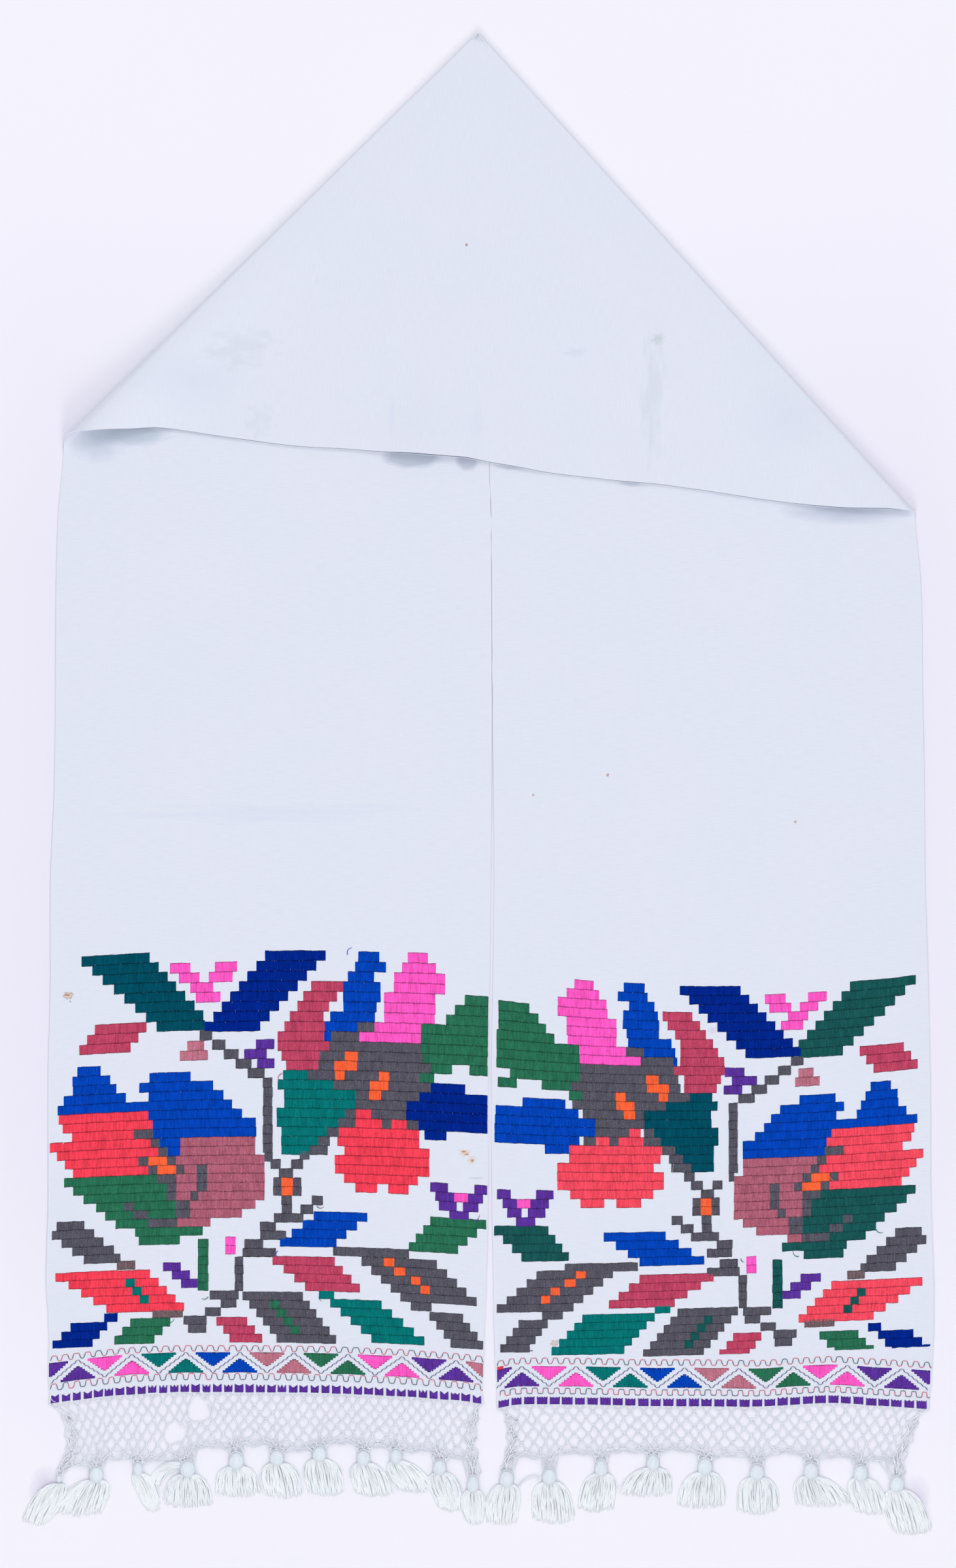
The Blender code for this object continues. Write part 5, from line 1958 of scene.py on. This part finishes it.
def knot_routes(net, row, shift):
    """The short knots that hang from the dips of a row and hold the peaks of the next one."""
    routes = []
    for cell in range(net.cells_across):
        wave = cell + 0.5 - shift + (1.0 if shift and cell == 0 else 0.0)
        top = row + NET_SWING + net_slack(wave, row)
        route = []
        for t in (0.0, 0.5, 1.0):
            level = mix(top - KNOT_OVER, row + KNOT_FOOT, t)
            x, y, lift = in_lace(net.side, wave / net.cells_across, level / net_depth(net))
            place = pushed_from_tears(net.side, x, y)
            if place:
                route.append((*place, NET_Z + lift + KNOT_LIFT, KNOT_GIRTH))
        if len(route) == 3:
            routes.append(route)
    return routes


def lower_routes(net):
    """The slack cords that lie bunched along the lace's lower edge."""
    routes = []
    steps = net.cells_across * LOWER_STEPS_PER_CELL
    for cord in range(LOWER_CORDS):
        route = []
        for i in range(steps + 1):
            spot = Vector((i * LOWER_WAVE_STEP, cord * 7.0, 3.0))
            fall = 1.0 - LOWER_SPACING * cord + LOWER_STRAY * noise.noise(spot)
            x, y, lift = in_lace(net.side, mix(*LOWER_ENDS, i / steps), fall)
            place = pushed_from_tears(net.side, x, y)
            if place:
                z = NET_Z + lift + LOWER_PILE * (1 + noise.noise(spot * LOWER_PILE_STEP))
                girth = LOWER_GIRTH + LOWER_GIRTH_STRAY * noise.noise(spot * LOWER_GIRTH_STEP)
                route.append((*place, z, girth))
        routes.append(route)
    return routes


def edge_routes(net):
    """The cords down the two sides of the net, a few lying close together and crossing."""
    routes = []
    slow, quick = SIDE_WEAVE_STEPS
    for name, inwards in zip(side_names(net.side), (1, -1)):
        low_y = lower_edge(net.side, smooth_through(LACE_SIDE[name], SIDE_FOOT_Y))
        top_y = smooth_through(HEM[net.side], 0.0 if name.endswith("inner") else 1.0)
        for cord in range(SIDE_CORDS):
            points = []
            for i in range(SIDE_STEPS + 1):
                t = i / SIDE_STEPS
                y = mix(top_y - SIDE_START_DROP, low_y, t)
                weave = math.sin(i * slow + cord * math.pi) + 0.5 * math.sin(i * quick + cord * 2.0)
                spread = min(1.0, SIDE_SPREADING * t + SIDE_SPREAD_AT_HEM)
                aside = (1.0 + SIDE_SPACING * cord + SIDE_WEAVE * weave) * MM * spread
                x = smooth_through(LACE_SIDE[name], y) + inwards * aside
                z = NET_Z + SIDE_PILE * math.sin(i * SIDE_PILE_STEP + cord * 2.5)
                points.append((x, y, z, SIDE_GIRTH))
            routes.append(points)
    return routes


def gap_loops(blocks, border, dice):
    """The white loops between the hem's blocks, which carry the net's first row."""
    routes = []
    low_x, cell = block_cell(blocks)
    for number in range(blocks.count + 1):
        x = low_x + number * cell
        lean = dice.uniform(-LOOP_LEAN, LOOP_LEAN) * MM
        bulge = dice.uniform(-LOOP_BULGE, LOOP_BULGE) * MM
        route = []
        for i in range(LOOP_STEPS + 1):
            t = i / LOOP_STEPS
            px = x + lean * (t - 0.5) + bulge * math.sin(math.pi * t)
            y = above_hem(border.side, px, mix(LOOP_TOP, LOOP_FOOT, t) * MM)
            z = CLOTH_THICKNESS + LOOP_SEAT if t < LOOP_ON_CLOTH else NET_Z + LOOP_OVER_NET
            if i == 0:
                z = CLOTH_THICKNESS - LOOP_SUNK
            route.append((px, y, z, LOOP_GIRTH if 0 < i < LOOP_STEPS else LOOP_END_GIRTH))
        routes.append(route)
    return routes


# The tassels

# Heads that strands lie over, so that less of them shows
SMALL_HEADS = {("left", 1): 0.44, ("left", 3): 0.9}


def number_of(tassel):
    """A tassel's number on its own lace, from the left."""
    return own_tassels(tassel.side).index(tassel) + 1


def head_size(tassel):
    """How large a head is made, as a share of its size in the table."""
    return SMALL_HEADS.get((tassel.side, number_of(tassel)), HEAD_SIZE)


def on_curve(corners, t):
    """A place on the smooth curve that leaves the first corner and ends at the last, by 3 or 4 corners."""
    left = 1 - t
    if len(corners) == 3:
        weights = (left**2, 2 * t * left, t * t)
    else:
        weights = (left**3, 3 * t * left**2, 3 * t * t * left, t**3)
    return [sum(w * corner[k] for w, corner in zip(weights, corners)) for k in range(len(corners[0]))]


def head_loops(tassel):
    """The cord that arches over a head, and the cords that run into its sides out of the net."""
    side, size = tassel.side, head_size(tassel)
    half, top = size * tassel.width / 2, tassel.y + size * tassel.length / 2
    arch = []
    for i in range(HEAD_CORD_STEPS + 1):
        angle = math.pi * mix(*ARCH_ENDS, i / HEAD_CORD_STEPS)
        x = tassel.x - half * ARCH_WIDTH * math.cos(angle)
        y = tassel.y + ARCH_RISE + (size * tassel.length / 2 - ARCH_DROP) * math.sin(angle)
        arch.append((x * MM, y * MM, mix(*ARCH_HEIGHTS, math.sin(angle)) * MM, ARCH_GIRTH))
    routes = [arch]
    low_x, high_x = panel_ends(side, 0.0)
    for aside in HEAD_CORDS:
        share = (tassel.x * MM + aside * MM - low_x) / (high_x - low_x)
        edge = math.copysign(half, aside)
        corners = [in_lace(side, clamp(share, *HEAD_CORD_SHARES), HEAD_CORD_START)]
        for across, rise, z in (HEAD_CORD_BEND, HEAD_CORD_END):
            corners.append(((tassel.x + across * edge) * MM, (top + rise) * MM, z * MM))
        route = []
        for i in range(HEAD_CORD_STEPS + 1):
            x, y, z = on_curve(corners, i / HEAD_CORD_STEPS)
            route.append((x, y, max(z, NET_Z), HEAD_CORD_GIRTH))
        routes.append(route)
    return routes


# Tufts that lie beside a head, in millimetres: where the yarns start, bend and end
TUFTS = table(
    "side number yarns width x0 y0 x1 y1 x2 y2 x3 y3",
    ("left", 3, 34, 11, -271, -623.5, -283, -622, -293, -627, -297, -639),
    ("right", 2, 3, 3, 56, -634, 48, -629, 41, -634, 33, -648),
)


def tuft_routes(tuft, dice):
    """The yarns of a tuft, side by side from its start over its bend to its tips."""
    routes = []
    bend_across, bend_up = TUFT_BEND_SPREAD
    for number in range(tuft.yarns):
        layer = dice.uniform(0.0, TUFT_PILE)
        stray = dice.uniform(-TUFT_YARN_STRAY, TUFT_YARN_STRAY)
        aside = ((number + stray) / (tuft.yarns - 1) - 0.5) * tuft.width
        bend_stray = dice.uniform(-TUFT_BEND_STRAY, TUFT_BEND_STRAY)
        tip_x_stray, tip_y_stray = (dice.uniform(-reach, reach) for reach in TUFT_TIP_STRAYS)
        corners = (
            (tuft.x0, tuft.y0 + TUFT_START_SPREAD * aside),
            (tuft.x1, tuft.y1 + aside),
            (tuft.x2 - bend_across * aside, tuft.y2 + bend_up * aside + bend_stray),
            (tuft.x3 - TUFT_TIP_SPREAD * aside + tip_x_stray, tuft.y3 + tip_y_stray),
        )
        route = []
        for i in range(YARN_STEPS + 1):
            t = i / YARN_STEPS
            x, y = on_curve(corners, t)
            rise = YARN_REST + layer * math.sin(math.pi * min(1.0, t + TUFT_PILE_START))
            route.append((x * MM, y * MM, rise * MM, 1.0))
        routes.append(route)
    return routes


def make_head(name, tassel, size, material):
    """A ball of yarn with the lines of its winding, settled flat where it lies on the surface."""
    ball = bmesh.new()
    bmesh.ops.create_uvsphere(ball, u_segments=HEAD_SIDES, v_segments=HEAD_RINGS, radius=1.0)
    half_height = HEAD_HEIGHT - HEAD_CENTRE_Z
    for vertex in ball.verts:
        across, off_floor, up = vertex.co
        from_pole = math.hypot(across, off_floor)
        lumps = uneven(across * LUMPS_ACROSS, off_floor * LUMPS_ACROSS, up * LUMPS_UP + tassel.x)
        wound = math.sin(math.atan2(off_floor, across) * HEAD_RIDGES + WINDING_SLOPE * up)
        scale = 1 + HEAD_RIDGE_DEPTH * wound * from_pole + HEAD_LUMPS * lumps
        bell_out = 1 - HEAD_BELL * up
        x = tassel.x * MM + across * scale * bell_out * size * tassel.width / 2 * MM
        y = tassel.y * MM + up * scale * size * tassel.length / 2 * MM
        z = HEAD_CENTRE_Z + off_floor * scale * size * half_height
        vertex.co = (x, y, max(z, 0.0))
    bmesh.ops.recalc_face_normals(ball, faces=ball.faces)
    head = add_shape(name, ball, material)
    head.data.shade_smooth()
    return head


def yarn_routes(tassel, dice):
    """The yarns of one tassel: out from under the head, over its shoulder and down to their tips."""
    routes = []
    neck = tassel.y - tassel.length * NECK_DEPTH
    length = neck - tassel.tip_y
    for number in range(YARNS_PER_TASSEL):
        place = (number + dice.uniform(-YARN_STRAY, YARN_STRAY)) / (YARNS_PER_TASSEL - 1)
        across = clamp(2 * place - 1, -1.0, 1.0)
        layer = dice.random()
        tip_x = mix(tassel.tip_left, tassel.tip_right, (across + 1) / 2) + dice.gauss(0, TIP_STRAY)
        ragged = dice.uniform(*TIP_RISES) * (1 - TIP_EVENING * layer)
        tip_y = tassel.tip_y + ragged + TIP_ROUNDNESS * across**2
        lean = YARN_LEAN * (tip_x - tassel.x)
        shoulder = tassel.x + across * tassel.width * dice.uniform(*SHOULDER_WIDTHS) + lean
        corners = (
            (tassel.x + across * tassel.width * NECK_WIDTH, neck + NECK_RISE),
            (shoulder, neck - length * dice.uniform(*SHOULDER_FALLS)),
            (mix(shoulder, tip_x, dice.uniform(*BEND_PLACES)), neck - length * dice.uniform(*BEND_FALLS)),
            (tip_x, tip_y),
        )
        wander, phase = dice.uniform(-YARN_WANDER, YARN_WANDER), dice.uniform(0, math.tau)
        pile = YARN_REST + YARN_PILE * layer * (1 - PILE_ROUNDNESS * across**2)
        route = []
        for i in range(YARN_STEPS + 1):
            t = i / YARN_STEPS
            x, y = on_curve(corners, t)
            x += wander * math.sin(math.tau * t * YARN_WAVES + phase) * t
            rise = mix(YARN_REST, pile, (1 - t) ** PILE_POWER) + OVER_SHOULDER * (1 - t) ** SHOULDER_POWER
            route.append((x * MM, y * MM, rise * MM, TIP_GIRTH if i == YARN_STEPS else 1.0))
        routes.append(route)
    return routes


# The loose thread ends left on the cloth, in millimetres
THREAD_ENDS = table(
    "side wool x y length angle curl",
    ("left", "navy", -252, -215, 9, 230, 1.6),
    ("left", "blue", -120, -154, 9, 120, -0.9),
    ("left", "rose", -180, -263, 9, 190, 0.8),
    ("left", "linen_end", -378, -321, 8, 200, 0.7),
    ("left", "linen_end", -392, -558, 9, 240, 0.9),
    ("left", "blue", -184, -426, 7, 200, 1),
    ("left", "green", -68, -428, 11, 160, 1.4),
    ("left", "purple", -6, -379, 9, 330, -1),
    ("left", "purple", -4, -398, 8, 350, 0.8),
    ("left", "charcoal", -148, -385, 7, 300, 0.8),
    ("left", "teal", -146, -467, 6, 250, 0.6),
    ("left", "green", -286, -491, 9, 320, 0.9),
    ("left", "green", -248, -468, 7, 250, -0.8),
    ("right", "coral", 214, -449, 7, 240, 0.9),
    ("right", "orange", 322, -354, 9, 250, 0.7),
    ("right", "green", 318, -380, 7, 20, 1),
    ("right", "green", 362, -381, 6, 10, 1.1),
    ("right", "green", 294, -431, 8, 200, -0.9),
    ("right", "dark_green", 365, -406, 8, 280, 0.8),
    ("right", "charcoal", 241, -433, 5, 260, 0.8),
    ("right", "charcoal", 50, -517.5, 16, 190, -0.4),
)

# How a loose end curls and arches, how high it lies on the cloth in millimetres, and how thin its tip is
END_STEPS = 9
END_CURL = 2.2
END_ARCH = 1.6
END_ARCH_START = 0.1
END_SEATS = (-0.1, 0.7)
END_LEAST_SEAT = 0.25 * MM
END_TIP_GIRTH = 0.5


def thread_end_route(end):
    """A short end that comes out of the cloth and curls over it."""
    points = []
    x, y, heading = end.x * MM, end.y * MM, math.radians(end.angle)
    for i in range(END_STEPS + 1):
        t = i / END_STEPS
        seat = mix(*END_SEATS, math.sin(math.pi * min(1.0, t * END_ARCH + END_ARCH_START))) * MM
        z = cloth_top(end.side, x, y) + max(seat, END_LEAST_SEAT if i else 0.0)
        points.append((x, y, z, 1.0 - (1.0 - END_TIP_GIRTH) * t))
        heading += end.curl * END_CURL / END_STEPS
        x += math.cos(heading) * end.length / END_STEPS * MM
        y += math.sin(heading) * end.length / END_STEPS * MM
    return points


# The stage

FRAME_HEIGHT = 1440 * MM
CAMERA_HEIGHT = 3.4
SENSOR_HEIGHT = 36.0
CAMERA_PLACE = (-0.3 * MM, 2.7 * MM, CAMERA_HEIGHT)
FLOOR_SIZE = 4.0
FLOOR_Z = -0.1 * MM
LAMP_RADIUS = 0.3
LAMP_COLOUR = (1.0, 0.995, 0.97)
LAMPS = table(
    "name place light",
    ("lamp_below", (0.0, -1.05, 0.75), 4.5),
    ("lamp_above", (0.15, 1.45, 1.6), 3.5),
)
OVERHEAD_SOFTNESS = 90.0
OVERHEAD_STRENGTH = 0.8
SKY_COLOUR = (0.95, 0.94, 1.0)
WORLD_STRENGTH = 0.593


def make_camera():
    """Straight above, with a long lens that takes in the whole frame at the surface."""
    data = bpy.data.cameras.new("camera")
    data.sensor_fit = "VERTICAL"
    data.sensor_height = SENSOR_HEIGHT
    data.lens = SENSOR_HEIGHT * CAMERA_HEIGHT / FRAME_HEIGHT
    camera = add_object("camera", data)
    camera.location = CAMERA_PLACE
    bpy.context.scene.camera = camera


def add_lamp(lamp):
    """A soft lamp that is as bright far away as near, so that only its shadows tell where it stands."""
    data = bpy.data.lights.new(lamp.name, "POINT")
    data.shadow_soft_size = LAMP_RADIUS
    data.energy = lamp.light / lamp.place[2]
    data.color = LAMP_COLOUR
    data.use_nodes = True
    tree = data.node_tree
    even = put(tree, "ShaderNodeLightFalloff", {"Strength": 1.0}).outputs["Constant"]
    distance = put(tree, "ShaderNodeLightPath").outputs["Ray Length"]
    tree.links.new(times(tree, even, distance), tree.nodes["Emission"].inputs["Strength"])
    add_object(lamp.name, data).location = lamp.place


def make_stage(spot):
    """The pale floor under the towel, a soft light from overhead, two soft lamps and an even sky."""
    plane = bmesh.new()
    bmesh.ops.create_grid(plane, x_segments=1, y_segments=1, size=FLOOR_SIZE)
    bmesh.ops.translate(plane, verts=plane.verts, vec=(0.0, 0.0, FLOOR_Z))
    floor = add_shape("floor", plane, floor_material(spot))

    sky = bpy.data.lights.new("overhead", "SUN")
    sky.angle = math.radians(OVERHEAD_SOFTNESS)
    sky.energy = OVERHEAD_STRENGTH
    add_object("overhead", sky)
    for lamp in LAMPS:
        add_lamp(lamp)

    world = bpy.data.worlds.new("even_light")
    world.use_nodes = True
    background = world.node_tree.nodes["Background"].inputs
    background["Color"].default_value = (*SKY_COLOUR, 1.0)
    background["Strength"].default_value = WORLD_STRENGTH
    bpy.context.scene.world = world
    bpy.context.scene.view_settings.view_transform = "Standard"


SATIN = satin_tree()
THREADS = thread_tree()


def stitched_pieces(wools, yarn, dice):
    """The satin stitching, the border's running threads and the loose ends, a piece for each wool."""
    runs = embroider()
    threads = {wool.name: [] for wool in WOOLS}
    for border in BORDERS.values():
        stitch_border(border, runs)
        zigzag_threads(border, threads)
    for meander in MEANDERS:
        meander_threads(meander, BORDERS[meander.side], threads, dice)
    for blocks in HEM_BLOCKS:
        hem_blocks(blocks, BORDERS[blocks.side], runs, dice)
    ends = {}
    for end in THREAD_ENDS:
        ends.setdefault(end.wool, []).append(thread_end_route(end))

    pieces = []
    for number, (name, lines) in enumerate(runs.items()):
        if lines:
            pieces.append(sew("stitches_" + name, lines, number, wools[name]))
    for name, lines in threads.items():
        if lines:
            pieces.append(lay_threads("running_" + name, lines, MEANDER_THREAD, THREAD_SIDES, wools[name]))
    for name, lines in ends.items():
        wool = wools.get(name, yarn)
        pieces.append(lay_threads("loose_" + name, lines, LOOSE_THREAD, THREAD_SIDES, wool))
    return pieces


def lace_piece(net, blocks, cord, dice):
    """One side's net, with its loops at the hem and the cords that run into the heads."""
    routes = net_routes(net) + lower_routes(net) + edge_routes(net)
    routes += gap_loops(blocks, BORDERS[net.side], dice)
    for tassel in own_tassels(net.side):
        routes += head_loops(tassel)
    lace = lay_threads("knotted_net_" + net.side, routes, NET_CORD, NET_SIDES, cord)
    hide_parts("lace_" + net.side)
    return lace


def tassel_pieces(tassel, wound_yarn, yarn, dice):
    """A tassel's head and its yarns, with the tuft that lies beside it, if it has one."""
    node = f"tassel_{tassel.side}_{number_of(tassel):02d}"
    head = make_head("head_" + node, tassel, head_size(tassel), wound_yarn)
    strands = yarn_routes(tassel, dice)
    for tuft in TUFTS:
        if (tuft.side, tuft.number) == (tassel.side, number_of(tassel)):
            strands += tuft_routes(tuft, dice)
    yarns = lay_threads("yarns_" + node, strands, YARN_RADIUS, YARN_SIDES, yarn)
    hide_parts(node)
    return [head, yarns]


def main():
    weave, wool_stitch, twist, spot = weave_group(), wool_group(), twist_group(), spot_group()
    linen = linen_material(weave, spot)
    wools = {wool.name: wool_material(wool, wool_stitch) for wool in WOOLS}
    lace_cord = cord_material("lace_cord", LACE_TONES, LACE_TURNS, twist)
    yarn = cord_material("tassel_yarn", YARN_TONES, YARN_TURNS, twist)
    grey_yarn = cord_material("selvedge_yarn", SELVEDGE_TONES, SELVEDGE_TURNS, twist)
    wound_yarn = head_material()

    make_stage(spot)
    make_camera()
    cloth = make_cloth(linen)
    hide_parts("cloth")

    dice = random.Random(LAYING_SEED)
    pieces = stitched_pieces(wools, yarn, dice)
    selvedge = lay_threads("selvedge_thread", [edge_line()], EDGE_LINE, THREAD_SIDES, grey_yarn)
    pieces.append(selvedge)
    for net, blocks in zip(NETS, HEM_BLOCKS):
        pieces.append(lace_piece(net, blocks, lace_cord, dice))
    for tassel in TASSELS:
        pieces += tassel_pieces(tassel, wound_yarn, yarn, dice)

    for piece in [cloth] + pieces:
        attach(piece, BODY)


main()
